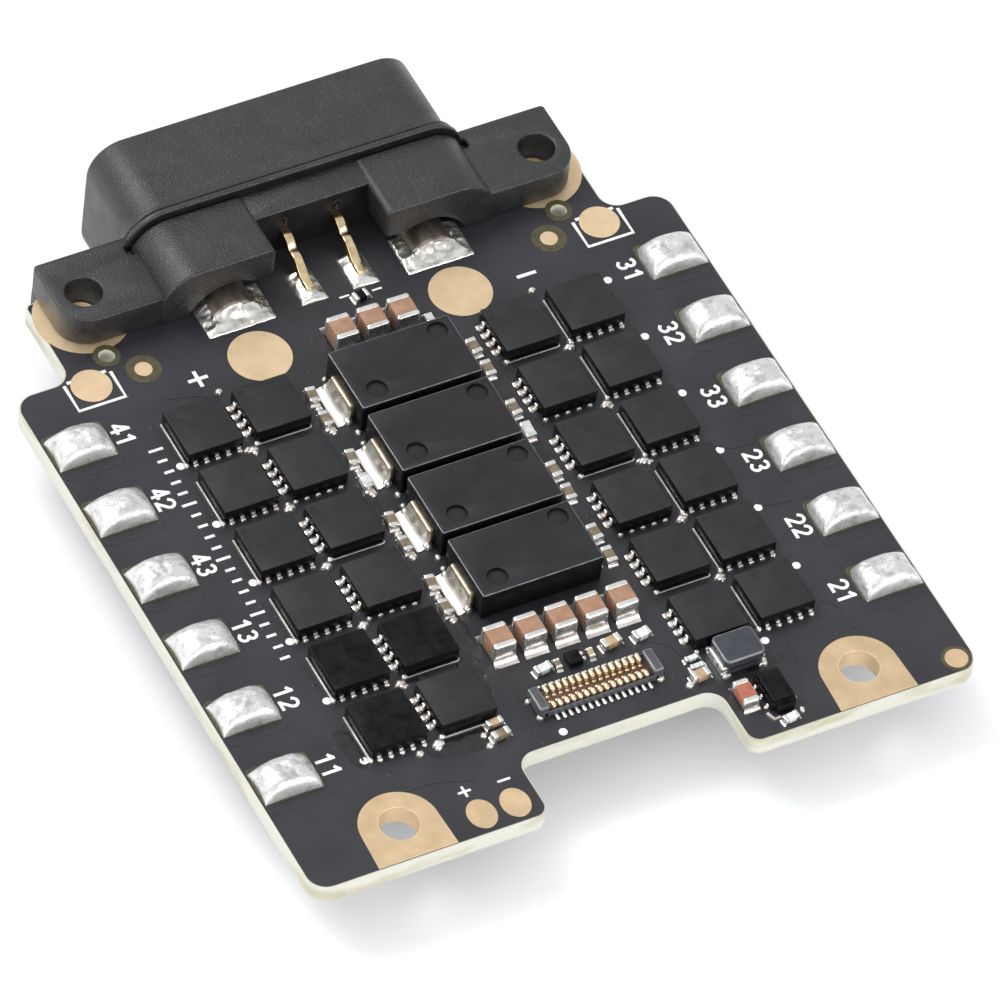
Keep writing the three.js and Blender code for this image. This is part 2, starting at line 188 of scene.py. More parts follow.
SOLDER_MOTTLED = surface(
    "motor_solder_finish", (0.5, 0.5, 0.485), (0.73, 0.73, 0.72), rough=(0.36, 0.5), metal=0.75, bump=0.018,
    grain=0.13, contrast=(0.32, 0.52), layer=((0.2, 0.2, 0.19), 0.6, 0.8))
SOLDER_RIPPLED = surface(
    "rippled_solder", (0.46, 0.43, 0.38), (0.88, 0.87, 0.83), 0.55, (0.18, 0.34), metal=0.9, bump=0.005,
    grain=0.4, contrast=(0.34, 0.6), stretch=(0.6, 1.3, 1.0))
TIN = surface(
    "tin_plate", (0.74, 0.73, 0.7), (0.88, 0.87, 0.84), 0.9, (0.2, 0.3), metal=0.9, bump=0.001, grain=0.5)
CHAMPAGNE = surface(
    "terminal_tab", (0.46, 0.38, 0.27), (0.62, 0.54, 0.42), 0.4, (0.26, 0.4), metal=0.8, grain=0.12)
CONTACT_TAIL = surface(
    "tinned_contact", (0.19, 0.155, 0.12), (0.42, 0.38, 0.33), 1.0, metal=0.9, grain=0.5,
    stretch=(1.6, 0.5, 1.0), contrast=(0.36, 0.64))
CONTACT_GOLD = surface(
    "connector_contacts", (0.72, 0.55, 0.35), (0.93, 0.8, 0.6), 0.35, (0.24, 0.34), metal=0.85, bump=0.002,
    grain=0.2)
MOSFET_EPOXY = surface(
    "mosfet_epoxy", (0.017, 0.017, 0.018), (0.023, 0.023, 0.024), 1.2, (0.42, 0.54), grain=0.3, specular=0.26,
    layer=((0.008, 0.008, 0.0085), 0.64, 0.78))
GLOSSY_EPOXY = surface(
    "glossy_epoxy", (0.004, 0.004, 0.0045), (0.011, 0.011, 0.012), 0.7, (0.16, 0.36), bump=0.01, grain=0.25,
    specular=0.1)
# Package sides: the same epoxy painted darker than the tops, as painted shade on the faces that the lamps
# light less.
SHADED_SIDE_EPOXY = surface(
    "package_side_painted_shade", (0.004, 0.004, 0.0045), (0.007, 0.007, 0.0075), rough=(0.3, 0.44), grain=0.09,
    specular=0.14)
CAPACITOR_EPOXY = surface(
    "capacitor_epoxy", (0.013, 0.013, 0.0145), (0.018, 0.018, 0.0195), 1.5, (0.36, 0.48), grain=0.4,
    specular=0.28, layer=((0.009, 0.009, 0.01), 0.66, 0.8))
PLASTIC = surface(
    "grained_nylon", (0.009, 0.009, 0.01), (0.016, 0.016, 0.017), 1.4, (0.32, 0.44), bump=0.045, grain=0.11,
    specular=0.66, layer=((0.1, 0.1, 0.106), 0.62, 0.84))
# The housing's nylon painted darker, as painted shade in the gaps and recesses where it is used.
SHADED_NYLON = surface(
    "nylon_painted_shade", (0.006, 0.006, 0.0065), (0.012, 0.012, 0.013), 1.0, (0.4, 0.5), grain=0.2, specular=0.2)
CONNECTOR_PLASTIC = surface(
    "connector_nylon", (0.055, 0.057, 0.063), (0.075, 0.077, 0.083), rough=(0.3, 0.44), grain=0.08)
AMBER_SLOT = surface("contact_slot", (0.055, 0.022, 0.008), (0.12, 0.05, 0.018), 0.3, (0.35, 0.5))
FERRITE = surface(
    "moulded_ferrite", (0.032, 0.036, 0.045), (0.044, 0.049, 0.06), 0.8, (0.34, 0.46), specular=0.4)
OLIVE_RING = surface("bare_dielectric", (0.05, 0.042, 0.02), (0.08, 0.068, 0.032), 0.3, (0.4, 0.5))
CERAMIC_BROWN = surface("brown_ceramic", (0.29, 0.155, 0.092), (0.36, 0.205, 0.125), 0.5)
CERAMIC_RED = surface("red_ceramic", (0.34, 0.1, 0.06), (0.42, 0.14, 0.085), 0.4)
CERAMIC_OLIVE = surface("olive_ceramic", (0.15, 0.118, 0.072), (0.24, 0.192, 0.125), 0.3, bump=0.003)
CERAMIC_TAN = surface("tan_ceramic", (0.4, 0.27, 0.155), (0.52, 0.37, 0.225), 0.3, bump=0.003)
CERAMIC_WHITE = surface("white_ceramic", (0.56, 0.57, 0.56), (0.72, 0.73, 0.72), 0.3, bump=0.003)


# ---- Outlines: lists of (a, b) points, counter-clockwise ----
def arc(x, y, radius, first, last, steps):
    """Points on an arc between two angles in radians."""
    turns = [first + (last - first) * k / steps for k in range(steps + 1)]
    return [(x + radius * math.cos(t), y + radius * math.sin(t)) for t in turns]


def rounded(corners, steps=6):
    """A closed outline whose corners, each (a, b, radius), are rounded with arcs."""
    points = []
    for i, (x, y, radius) in enumerate(corners):
        corner = Vector((x, y))
        into = (corner - Vector(corners[i - 1][:2])).normalized()
        out = (Vector(corners[(i + 1) % len(corners)][:2]) - corner).normalized()
        turn = math.atan2(into.x * out.y - into.y * out.x, into.dot(out))
        if radius == 0 or abs(turn) < 1e-6:
            points.append((x, y))
            continue
        start = corner - into * radius * math.tan(abs(turn) / 2)
        centre = start + Vector((-into.y, into.x)) * math.copysign(radius, turn)
        first = math.atan2(start.y - centre.y, start.x - centre.x)
        points += arc(*centre, radius, first, first + turn, steps)
    return points


def rectangle(x0, x1, y0, y1, radius=0.0, steps=4):
    return rounded([(x0, y0, radius), (x1, y0, radius), (x1, y1, radius), (x0, y1, radius)], steps)


def ring(x, y, radius, steps=32, squash=1.0):
    turns = [2 * math.pi * k / steps for k in range(steps)]
    return [(x + radius * math.cos(t), y + radius * squash * math.sin(t)) for t in turns]


def smooth(points, rounds=3):
    """An open line with its corners cut into curves."""
    for _ in range(rounds):
        cut = [points[0]]
        for (ax, ay), (bx, by) in zip(points, points[1:]):
            cut += [(share * ax + (1 - share) * bx, share * ay + (1 - share) * by) for share in (0.75, 0.25)]
        points = cut + [points[-1]]
    return points


def mirrored(outline):
    return [(-x, y) for x, y in reversed(outline)]


def on_side(outline, sign):
    """The outline as it is on the right side, and mirrored on the left one."""
    return outline if sign > 0 else mirrored(outline)


def inset(outline, distance):
    """The outline moved towards its left, which is inwards on a counter-clockwise one."""
    if distance == 0:
        return list(outline)
    moved = []
    for i, point in enumerate(outline):
        here = Vector(point)
        before = (here - Vector(outline[i - 1])).normalized()
        after = (Vector(outline[(i + 1) % len(outline)]) - here).normalized()
        a = Vector((-before.y, before.x))
        b = Vector((-after.y, after.x))
        moved.append(tuple(here + (a + b) / max(0.35, 1 + a.dot(b)) * distance))
    return moved


# ---- Pieces ----
PLANES = {
    "xy": lambda a, b, c: (a, b, c),
    "xz": lambda a, b, c: (a, c, b),
    "yz": lambda a, b, c: (c, a, b),
}


def skin(rows, around):
    """The faces between rings of points that follow one another."""
    return [[k * around + i, k * around + (i + 1) % around, (k + 1) * around + (i + 1) % around,
             (k + 1) * around + i] for k in range(rows - 1) for i in range(around)]


class Piece:
    """One object, made of closed shells that are given in millimetres of the board's frame."""

    made = []

    def __init__(self, name, slot, *materials, replaces=(), sharp=38):
        self.name = name
        self.slot = slot
        self.materials = materials
        self.replaces = replaces
        self.sharp = sharp
        self.points = []
        self.faces = []
        self.marks = []
        self.smooth = []
        Piece.made.append(self)

    def shell(self, points, faces, turn=None, marks=None, smooth=None):
        """Adds one closed shell. marks and smooth say for each face its material and whether it is shaded as
        round; turn is a placing matrix."""
        start = len(self.points)
        self.points += [turn @ Vector(p) if turn else Vector(p) for p in points]
        self.faces += [[start + i for i in face] for face in faces]
        self.marks += marks or [0] * len(faces)
        self.smooth += smooth or [True] * len(faces)

    def slab(self, outline, low, high, edge=0.0, steps=2, holes=(), pits=(), plane="xy", material=0, top=None,
             rim=None, turn=None):
        """An outline extruded from low to high with rounded rims. holes run through; pits, (outline, depth,
        material of the wall), don't. top and rim are the materials of the upper face and of the rounded edge
        round it, where they differ."""
        arcs = [math.pi / 2 * k / steps for k in range(steps + 1)] if edge else [0.0]
        under = [(edge - edge * math.cos(t), low + edge - edge * math.sin(t)) for t in reversed(arcs)]
        top = material if top is None else top
        points = []
        faces = []
        marks = []
        smooth = []

        def add(face, mark, curved):
            faces.append(face)
            marks.append(mark)
            smooth.append(curved)

        def rim_profile(radius):
            return [(radius - radius * math.cos(t), high - radius + radius * math.sin(t)) for t in arcs]

        def wall(loop, profile, mark, rim_mark):
            rings = []
            for distance, height in profile:
                rings.append(range(len(points), len(points) + len(loop)))
                points.extend((x, y, height) for x, y in inset(loop, distance))
            for k, (lower, upper) in enumerate(zip(rings, rings[1:])):
                for i in range(len(loop)):
                    j = (i + 1) % len(loop)
                    add([lower[i], lower[j], upper[j], upper[i]], rim_mark if k >= len(under) else mark, True)
            return list(rings[0]), list(rings[-1])

        def cap(loops, mark):
            if len(loops) == 1:
                add(loops[0], mark, False)
                return
            flat = sum(loops, [])
            outlines = [[Vector((*points[i][:2], 0)) for i in loop] for loop in loops]
            for triangle in tessellate_polygon(outlines):
                add([flat[k] for k in triangle], mark, False)

        full = under + rim_profile(edge)
        walls = [wall(outline, full, material, material if rim is None else rim)]
        walls += [wall(hole[::-1], full, material, material) for hole in holes]
        lows = [ends[0] for ends in walls]
        highs = [ends[1] for ends in walls]
        cap(lows, material)
        for pit, depth, lining in pits:
            profile = [(0, high - depth)] + rim_profile(min(edge, depth / 2))
            floor, mouth = wall(pit[::-1], profile, lining, lining)
            add(floor, top, True)
            highs.append(mouth)
        cap(highs, top)
        self.shell([PLANES[plane](*p) for p in points], faces, turn, marks, smooth)

    def block(self, x0, x1, y0, y1, z0, z1, radius=0.04, steps=2, material=0, top=None, rim=None, turn=None):
        radius = min(radius, (x1 - x0) / 2.2, (y1 - y0) / 2.2, (z1 - z0) / 2.2)
        outline = rectangle(x0, x1, y0, y1, radius, steps)
        self.slab(outline, z0, z1, radius, steps, material=material, top=top, rim=rim, turn=turn)

    def bar(self, x, half, *sizes, **options):
        """A block of this half width on both sides of x."""
        self.block(x - half, x + half, *sizes, **options)

    def mound(self, shape, nx, ny, floor=0.0, turn=None):
        """A closed lump: shape(u, v) is its top, for u and v from -1 to 1, and floor its flat underside."""
        points = [shape(-1 + 2 * i / nx, -1 + 2 * j / ny) for j in range(ny + 1) for i in range(nx + 1)]
        row = nx + 1
        corners = [j * row + i for j in range(ny) for i in range(nx)]
        faces = [[k, k + 1, k + 1 + row, k + row] for k in corners]
        rim = list(range(nx)) + [nx + j * row for j in range(ny)]
        rim += [ny * row + i for i in range(nx, 0, -1)] + [j * row for j in range(ny, 0, -1)]
        base = len(points)
        points += [(points[i][0], points[i][1], floor) for i in rim]
        for k, edge in enumerate(rim):
            n = (k + 1) % len(rim)
            faces.append([base + k, base + n, rim[n], edge])
        faces.append([base + k for k in reversed(range(len(rim)))])
        self.shell(points, faces, turn=turn)

    def slope(self, width, reach, height, turn):
        """A hollow slope of solder, which falls from height on a wall at y = 0 to the board at y = -reach."""
        def shape(u, v):
            fall = (1 - v) * math.pi / 4
            lift = height * (1 - math.sin(fall)) * (1 - 0.25 * u ** 4)
            spread = 1 + 0.12 * math.sin(fall)
            return u * width / 2 * spread, -reach * (1 - math.cos(fall)), max(0.02, lift)
        self.mound(shape, 6, 6, turn=turn)

    def lathe(self, profile, x, z, around=32):
        """A closed profile of (radius, y) turned about the line through x and z that runs along y."""
        points = []
        for radius, y in profile:
            points += [(a, y, c) for a, c in ring(x, z, radius, around)]
        faces = skin(len(profile), around)
        faces.append(list(range(around)))
        faces.append(list(range(len(points) - around, len(points)))[::-1])
        self.shell(points, faces)

    def stroke(self, points, width, low=SUNK, high=INK_TOP, plane="xy", edge=0.0, turn=None):
        """A flat line of the given width through points, as a pen draws it."""
        left = []
        right = []
        last = len(points) - 1
        for i, (x, y) in enumerate(points):
            along = Vector(points[min(last, i + 1)]) - Vector(points[max(0, i - 1)])
            along = along.normalized() * width / 2
            tip = along * 0.8 if i == last else along * -0.8 if i == 0 else Vector((0, 0))
            left.append((x - along.y + tip.x, y + along.x + tip.y))
            right.append((x + along.y + tip.x, y - along.x + tip.y))
        self.slab(right + left[::-1], low, high, edge, plane=plane, turn=turn)

    def bead(self, x, y, rx, ry, height, floor=0.0, around=10, up=4):
        """A rounded drop that sits on a flat surface."""
        points = []
        for k in range(up):
            lift = math.pi / 2 * k / up
            spread = math.cos(lift) ** 0.8
            level = floor + height * math.sin(lift)
            points += [(a, b, level) for a, b in ring(x, y, rx * spread, around, ry / rx)]
        top = len(points)
        start = top - around
        points.append((x, y, floor + height))
        faces = [list(range(around))[::-1]] + skin(up, around)
        faces += [[start + i, start + (i + 1) % around, top] for i in range(around)]
        self.shell(points, faces)

    def build(self):
        """Makes the mesh and its object, and gives the object to the frame."""
        mesh = bpy.data.meshes.new(self.name)
        mesh.from_pydata([point * MM + ORIGIN for point in self.points], [], self.faces)
        for material in self.materials:
            mesh.materials.append(material)
        mesh.polygons.foreach_set("material_index", self.marks)
        mesh.polygons.foreach_set("use_smooth", self.smooth)
        work = bmesh.new()
        work.from_mesh(mesh)
        bmesh.ops.recalc_face_normals(work, faces=work.faces)
        work.to_mesh(mesh)
        work.free()
        mesh.set_sharp_from_angle(angle=math.radians(self.sharp))
        mesh.update()
        piece = add_object(self.name, mesh)
        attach(piece, "root")
        if self.replaces:
            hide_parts(*self.replaces)


def stand_in(node, suffix, slot, *materials, sharp=38):
    """The piece that replaces a CAD node, and the node's lowest and highest corners."""
    return Piece(f"{node}_{suffix}", slot, *materials, replaces=[node], sharp=sharp), *local(node)


def tin(name):
    return Piece(name, "tin_terminal", TIN)


def solder(name, look=SOLDER, sharp=38):
    return Piece(name, "solder", look, sharp=sharp)


# ---- Circuit board ----
def board_outline(pullback=0.0):
    half = [
        (NOTCH_HALF_WIDTH, NOTCH_Y, 1.0), (NOTCH_HALF_WIDTH, FRONT_Y, 0.8), (HALF_WIDTH, FRONT_Y, 1.2),
        (HALF_WIDTH, SHOULDER_Y, 1.2), (TAIL_HALF_WIDTH, SHOULDER_Y, 1.0), (TAIL_HALF_WIDTH, REAR_Y, 0.4),
    ]
    return inset(rounded(half + [(-x, y, radius) for x, y, radius in half[::-1]], 8), pullback)


def board_holes(grow=0.0):
    holes = (MOUNT_HOLE, EAR_HOLE, LOCATING_HOLE)
    return [ring(x * sign, y, r + grow, 40) for x, y, r in holes for sign in SIGNS]


def make_board():
    core = Piece("board_core", "bare_laminate", LAMINATE, replaces=["circuit_board"])
    core.slab(board_outline(), MASK_THICKNESS - THICKNESS, -MASK_THICKNESS, edge=0.05, holes=board_holes())
    for name, low in (("top", -MASK_THICKNESS), ("bottom", -THICKNESS)):
        mask = Piece(f"solder_mask_{name}", "solder_mask", MASK)
        mask.slab(board_outline(MASK_PULLBACK), low, low + MASK_THICKNESS, edge=MASK_THICKNESS / 2, steps=1,
                  holes=board_holes(MASK_PULLBACK))


# ---- Gold, copper and ink on the board ----
# Round pads and marks: x, y and radius. Those of a pair are the right-hand ones.
BIG_TEST_PAD = (6.15, 32.2, 1.8)
SQUARE_TEST_PAD = (15.6, 33.8, 1.15)
FIDUCIAL = (12.45, 33.8, 0.5)
CORNER_FIDUCIAL = (19.0, -1.5, 0.65)
SUPPLY_PADS = ((-7.5, -1.1, 0.82), (-9.5, -1.1, 0.82))
EAR_PAD_RADIUS = 2.72
HALO_TOP = 0.012
LABEL_X = 15.55
LABELS = {-1: ("41", "42", "43", "13", "12", "11"), 1: ("31", "32", "33", "23", "22", "21")}
MOTOR_PADS = [local(f"motor_solder_left_{i}") for i in range(1, 7)]
PAD_ROWS = [(low.y + high.y) / 2 for low, high in MOTOR_PADS]


def mount_pad_outline(sign):
    """The gold pad round a front mounting hole: straight along the board's front edge and round behind."""
    half = 2.25
    depth = 2.2
    corner = (half + 0.1, FRONT_Y + 0.12)
    points = [(-corner[0], corner[1]), corner] + ring(0, -0.05, half, 48, depth / half)[:25]
    return [(MOUNT_HOLE[0] * sign + a, b) for a, b in points]


def add_gold():
    pads = Piece("gold_pads", "gold_plate", GOLD, DULL_GOLD)
    halos = Piece("bare_dielectric_rings", "solder_mask", OLIVE_RING)

    def pad(outline, low=SUNK, **options):
        pads.slab(outline, low, FOIL, FOIL_EDGE, 1, **options)

    for sign in SIGNS:
        x, y, r = MOUNT_HOLE
        pad(mount_pad_outline(sign), -MASK_THICKNESS, holes=[ring(x * sign, y, r, 40)], material=1)
        for (x, y, r), steps in ((BIG_TEST_PAD, 48), (SQUARE_TEST_PAD, 40), (FIDUCIAL, 28)):
            pad(ring(x * sign, y, r, steps))
        halos.slab(ring(x * sign, y, 2 * r, 32), SUNK, HALO_TOP)
        x, y, r = EAR_HOLE
        pads.slab(ring(x * sign, y, EAR_PAD_RADIUS, 48), SUNK, 0.015, holes=[ring(x * sign, y, r + 0.05, 40)])
        x, y, r = LOCATING_HOLE
        halos.slab(ring(x * sign, y, 0.78, 32), SUNK, 0.02, holes=[ring(x * sign, y, r + 0.02, 24)])
        for x, y, r in (MOUNT_HOLE, EAR_HOLE):
            pad(ring(x * sign, y, r + 0.02, 40), -THICKNESS, holes=[ring(x * sign, y, r - 0.05, 40)])
    x, y, r = CORNER_FIDUCIAL
    pad(ring(x, y, r, 28), material=1)
    halos.slab(ring(x, y, 1.32 * r, 32), SUNK, HALO_TOP)
    for x, y, r in SUPPLY_PADS:
        pad(ring(x, y, r, 36, squash=1.22), material=1)


# The tracks that show under the mask, each as the corners of its route.
TRACKS = (
    ((-12.2, 31.4), (-10.4, 31.0), (-9.7, 30.4)), ((12.9, 5.6), (14.9, 4.6), (14.9, 2.6)),
    ((4.3, 6.0), (5.2, 5.3), (5.4, 4.4)), ((-5.3, 9.2), (-4.0, 7.4), (-4.0, 5.0)),
    ((9.9, -0.9), (11.0, 0.9), (11.2, 3.2)), ((-12.5, 1.9), (-10.9, 1.9), (-8.9, 1.2)),
    ((13.6, 17.2), (14.6, 16.4), (16.0, 16.3)), ((13.6, 12.8), (14.6, 12.0), (16.0, 11.9)),
)
VIA_COUNT = 110
VIA_RADIUS = 0.16


def add_copper_relief():
    """The low steps that copper areas and tracks leave in the solder mask."""
    relief = Piece("copper_relief", "solder_mask", MASK)
    for sign in SIGNS:
        for y in PAD_ROWS:
            pad_area = rectangle(*sorted((16.2 * sign, 19.9 * sign)), y - 1.95, y + 1.75, 0.5)
            relief.slab(pad_area, SUNK, 0.03, 0.012, 1)
            neck = rectangle(*sorted((14.1 * sign, 16.1 * sign)), y - 2.1, y - 1.5, 0.2, 3)
            relief.slab(neck, SUNK, 0.02, 0.01, 1)
        battery_area = [(2.9, 33.0, 0.4), (10.6, 33.0, 0.6), (10.6, 37.5, 0.2), (2.9, 37.5, 0.2)]
        relief.slab(on_side(rounded(battery_area, 4), sign), SUNK, 0.02, 0.01, 1)
    for corners in TRACKS:
        relief.stroke(smooth(corners, 2), 0.22)
    vias = Piece("tented_vias", "solder_mask", MASK)
    for _ in range(VIA_COUNT):
        x = random.uniform(-14.6, 14.6)
        y = random.uniform(1.0, 34.0)
        vias.bead(x, y, VIA_RADIUS, VIA_RADIUS, 0.022, -0.004, around=12, up=2)


def pen_arc(x, y, radius, first, last):
    return arc(x, y, radius, math.radians(first), math.radians(last), 8)


# Pen paths of the figures and signs. A figure is FIGURE_WIDTH wide and 1 high, with a corner at the origin.
FIGURE_WIDTH = 0.6
FIGURES = {
    "1": [[(0.12, 0.80), (0.34, 0.98)], [(0.36, 1.0), (0.36, 0.0)]],
    "2": [pen_arc(0.30, 0.70, 0.28, 165, -40), [(0.51, 0.51), (0.10, 0.05)], [(0.05, 0.0), (0.58, 0.0)]],
    "3": [pen_arc(0.28, 0.75, 0.25, 140, -80), pen_arc(0.28, 0.27, 0.27, 80, -140)],
    "4": [[(0.44, 0.0), (0.44, 1.0)], [(0.42, 0.98), (0.05, 0.32)], [(0.02, 0.28), (0.62, 0.28)]],
    "+": [[(0.0, 0.5), (0.8, 0.5)], [(0.4, 0.1), (0.4, 0.9)]],
    "-": [[(0.0, 0.5), (0.8, 0.5)]],
}
FIGURE_STEP = 0.86
PEN = 0.17


def write(piece, text, x, y, degrees, size, pen=PEN):
    """Figures centred on x and y, on a line that runs at this angle. Each stroke ends a little higher than
    the one before, so that crossing strokes don't share a surface."""
    place = placed(x, y, degrees=degrees)
    place @= Matrix.Scale(size, 4, (1, 0, 0)) @ Matrix.Scale(size, 4, (0, 1, 0))
    start = -(FIGURE_STEP * (len(text) - 1) + FIGURE_WIDTH) / 2
    for i, figure in enumerate(text):
        for k, path in enumerate(FIGURES[figure]):
            moved = [(start + i * FIGURE_STEP + a, b - 0.5) for a, b in path]
            piece.stroke(moved, pen, high=INK_TOP + 0.002 * k, turn=place)


# Each film's middle, x and y, and its half width and depth.
FLUX_FILMS = (
    (-8.0, 3.6, 2.6, 1.0), (-5.6, 7.4, 0.8, 1.9), (-9.5, 8.8, 1.1, 2.6), (-4.9, 11.6, 0.7, 2.2),
    (-13.9, 5.6, 0.7, 1.7), (9.3, 2.2, 1.4, 0.6), (5.0, 19.6, 0.6, 1.8), (-5.4, 20.2, 0.6, 2.2),
)


def add_flux_residue():
    """Wet-looking films of dried flux, most of them round the hand-soldered front left power stages."""
    films = Piece("flux_residue", "solder_mask", FLUX, sharp=80)
    for x, y, wide, deep in FLUX_FILMS:
        def film(u, v):
            angle = math.atan2(v, u)
            reach = max(abs(u), abs(v))
            swing = 0.85 + 0.3 * noise.noise(Vector((x + math.cos(angle), y + math.sin(angle), 4)))
            scale = reach / max(1e-6, math.hypot(u, v)) * swing
            height = 0.028 * (1 - reach ** 3) + 0.012 * noise.noise(Vector((u * 3 + x, v * 3 + y, 0)))
            return x + wide * u * scale, y + deep * v * scale, max(0.003, height)
        films.mound(film, 18, 18, SUNK)


def add_silkscreen():
    ink = Piece("silkscreen", "silkscreen", INK)
    for sign, texts in LABELS.items():
        for y, text in zip(PAD_ROWS, texts):
            write(ink, text, LABEL_X * sign, y, -90, 0.98, pen=0.19)
    for mark, x, y, size in (("+", -9.9, 32.0, 1.25), ("-", 10.2, 31.9, 1.25), ("-", -7.3, 0.5, 0.8),
                             ("+", -9.6, 0.6, 0.8)):
        write(ink, mark, x, y, 180, size)
    front, rear = 32.4, 34.25
    for sign in SIGNS:
        x0, x1 = sorted((14.2 * sign, 17.0 * sign))
        ink.stroke([(x0, rear), (x0, front), (x1, front), (x1, rear)], 0.19)
        ink.stroke([(x0 + 0.3, rear + 0.2), (x1 - 0.3, rear + 0.2)], 0.19)
    for k in range(20):
        reach = 0.36 if k % 5 == 0 else 0.22
        y = 28.3 - 0.83 * k
        ink.stroke([(-14.38 - reach, y), (-14.38 + reach, y)], PEN)
    dots = [(10.0, 3.6), (-2.95, 2.2)]
    for row in range(1, 7):
        low, high = local(f"mosfet_left_outer_{row}")
        dots.append((low.x - 0.4, low.y + 0.1))
        low, high = local(f"mosfet_right_outer_{row}")
        dots.append((high.x + 0.6, high.y - 0.15))
    for x, y in dots:
        ink.slab(ring(x, y, 0.24, 18), SUNK, INK_TOP)
    for x, y in ((0.05, 34.3), (1.95, 34.1)):
        ink.stroke([(x - 0.25, y), (x + 0.25, y)], 0.12)


# ---- Power stages ----
MOSFET_COLUMNS = ("left_outer", "left_inner", "right_inner", "right_outer")
GLOSSY_MOSFETS = ("mosfet_left_outer_5", "mosfet_left_outer_6", "mosfet_left_inner_5")
FRONT_LEAD_PITCH = 0.66
SIDE_LEAD_PITCH = 0.64
FRONT_BEAD_PITCH = 0.68


def add_outer_leads(leads, joints, low, high):
    """A drain tab along the left side and five leads in front."""
    tab = low.x - 0.1
    joints.stroke([(tab, high.y - 0.2), (tab, low.y)], 0.14, 0, 0.12, edge=0.04)
    joints.bead(tab, low.y - 0.02, 0.17, 0.2, 0.2)
    for k in range(5):
        x = low.x + 0.42 + k * FRONT_LEAD_PITCH
        leads.bar(x, 0.13, low.y - 0.06, low.y + 0.05, 0, 0.2, 0.03)
        joints.bead(x, low.y - 0.16, 0.17, 0.17, 0.15)


def add_inner_leads(leads, joints, low, high, beaded):
    """Four leads on the left side, and in front a row of beads or a drain tab."""
    for k in range(4):
        y = (low.y + high.y) / 2 + 1.05 - k * SIDE_LEAD_PITCH
        leads.block(low.x - 0.10, low.x + 0.05, y - 0.15, y + 0.15, 0, 0.42, 0.05)
        joints.block(low.x - 0.48, low.x - 0.1, y - 0.19, y + 0.19, 0, 0.15, 0.07)
        joints.slope(0.34, 0.3, 0.36, placed(low.x - 0.08, y, degrees=-90))
    if beaded:
        for k in range(5):
            joints.bead(low.x + 0.1 + k * FRONT_BEAD_PITCH, low.y - 0.14, 0.17, 0.15, 0.16)
        return
    foot = low.y - 0.16
    end = high.x - 0.05
    path = [(low.x, foot), (high.x - 0.2, foot), (end, foot + 0.05), (end, low.y)]
    joints.stroke(path, 0.11, 0, 0.1, edge=0.035)
    joints.bead(low.x + 0.02, low.y - 0.05, 0.2, 0.17, 0.17)


def add_mosfets():
    for column in MOSFET_COLUMNS:
        leads = tin(f"mosfet_leads_{column}")
        joints = solder(f"mosfet_solder_{column}")
        for row in range(1, 7):
            node = f"mosfet_{column}_{row}"
            top = GLOSSY_EPOXY if node in GLOSSY_MOSFETS else MOSFET_EPOXY
            # The body's sides get the darker side epoxy, which is painted shade; the top gets the package's
            # own finish.
            body, low, high = stand_in(node, "body", "mosfet_epoxy", SHADED_SIDE_EPOXY, top)
            mark = [(ring(low.x + 0.42, high.y - 0.42, 0.16, 16), 0.02, 1)] if row % 2 else []
            outline = rectangle(low.x, high.x, low.y, high.y, 0.06, 2)
            body.slab(outline, 0.03, high.z, 0.035, 2, pits=mark, top=1)
            if column.endswith("outer"):
                add_outer_leads(leads, joints, low, high)
            else:
                beaded = row in (2, 4) or (row == 6 and column == "right_inner")
                add_inner_leads(leads, joints, low, high, beaded)
    junctions = solder("mosfet_junction_solder")
    for column, neighbour, rows in (("left_outer", "left_inner", 6), ("right_inner", "right_outer", 5)):
        for row in range(1, rows + 1):
            low, high = local(f"mosfet_{column}_{row}")
            x = (high.x + local(f"mosfet_{neighbour}_{row}")[0].x) / 2
            y = low.y - 0.45
            junctions.bead(x, y, 0.36, 0.27, 0.3)
            for _ in range(2):
                junctions.bead(x + random.uniform(-0.3, 0.3), y + random.uniform(-0.25, 0.25),
                               random.uniform(0.18, 0.3), random.uniform(0.16, 0.24),
                               random.uniform(0.15, 0.25))
    for x, y in ((-10.7, 3.8), (-9.6, 3.8), (9.8, 30.7), (-9.4, 30.7)):
        junctions.bead(x, y, 0.24, 0.22, 0.24)


def add_motor_solder():
    halo = Piece("motor_pad_edges", "solder_mask", OLIVE_RING)
    for side, sign in SIDES:
        for i, y in enumerate(PAD_ROWS, 1):
            node = f"motor_solder_{side}_{i}"
            lump, low, high = stand_in(node, "joint", "solder", SOLDER_MOTTLED, sharp=70)
            half = (high.x - low.x) / 2
            deep = (high.y - low.y) / 2
            x = (low.x + high.x) / 2
            seed = Vector((x, y, 3.1))

            def wave(u, v, layer, rate):
                return noise.noise(seed + Vector((u, v, layer)) * rate)

            def pillow(u, v):
                """u runs from the board's edge to its middle, v from the front to the rear."""
                rear = 0.80 + 0.20 * math.cos(1.25 * (u - 0.15))
                front = 0.95 + 0.05 * u * u
                depth = deep * (rear if v > 0 else front)
                length = half * (0.93 + 0.07 * v * v if u < 0 else 0.97 - 0.10 * max(v, 0) ** 3)
                crown = (1 - abs(u) ** 3.4) ** 0.5 * (1 - abs(v) ** (5.2 if v < 0 else 2.6)) ** 0.5
                lift = 0.93 * high.z * (0.93 + 0.05 * math.cos(2.2 * u) + 0.10 * wave(u, v, 0, 1.7))
                fine = 0.05 * wave(u, v, 1, 4) + 0.02 * wave(u, v, 2, 10)
                return x - sign * length * u, y + depth * v, 0.05 + (lift + fine) * crown

            lump.mound(pillow, 40, 32)
            pad = rectangle(low.x - 0.05, high.x + 0.05, low.y - 0.05, high.y + 0.14, 0.3, 5)
            halo.slab(pad, SUNK, 0.045)


# ---- Capacitors ----
# The bulk capacitor's plastic body is this much shorter than its node at each end.
BULK_LEFT_END = 0.9
BULK_RIGHT_END = 0.35
BULK_TERMINAL_WIDTH = 2.6


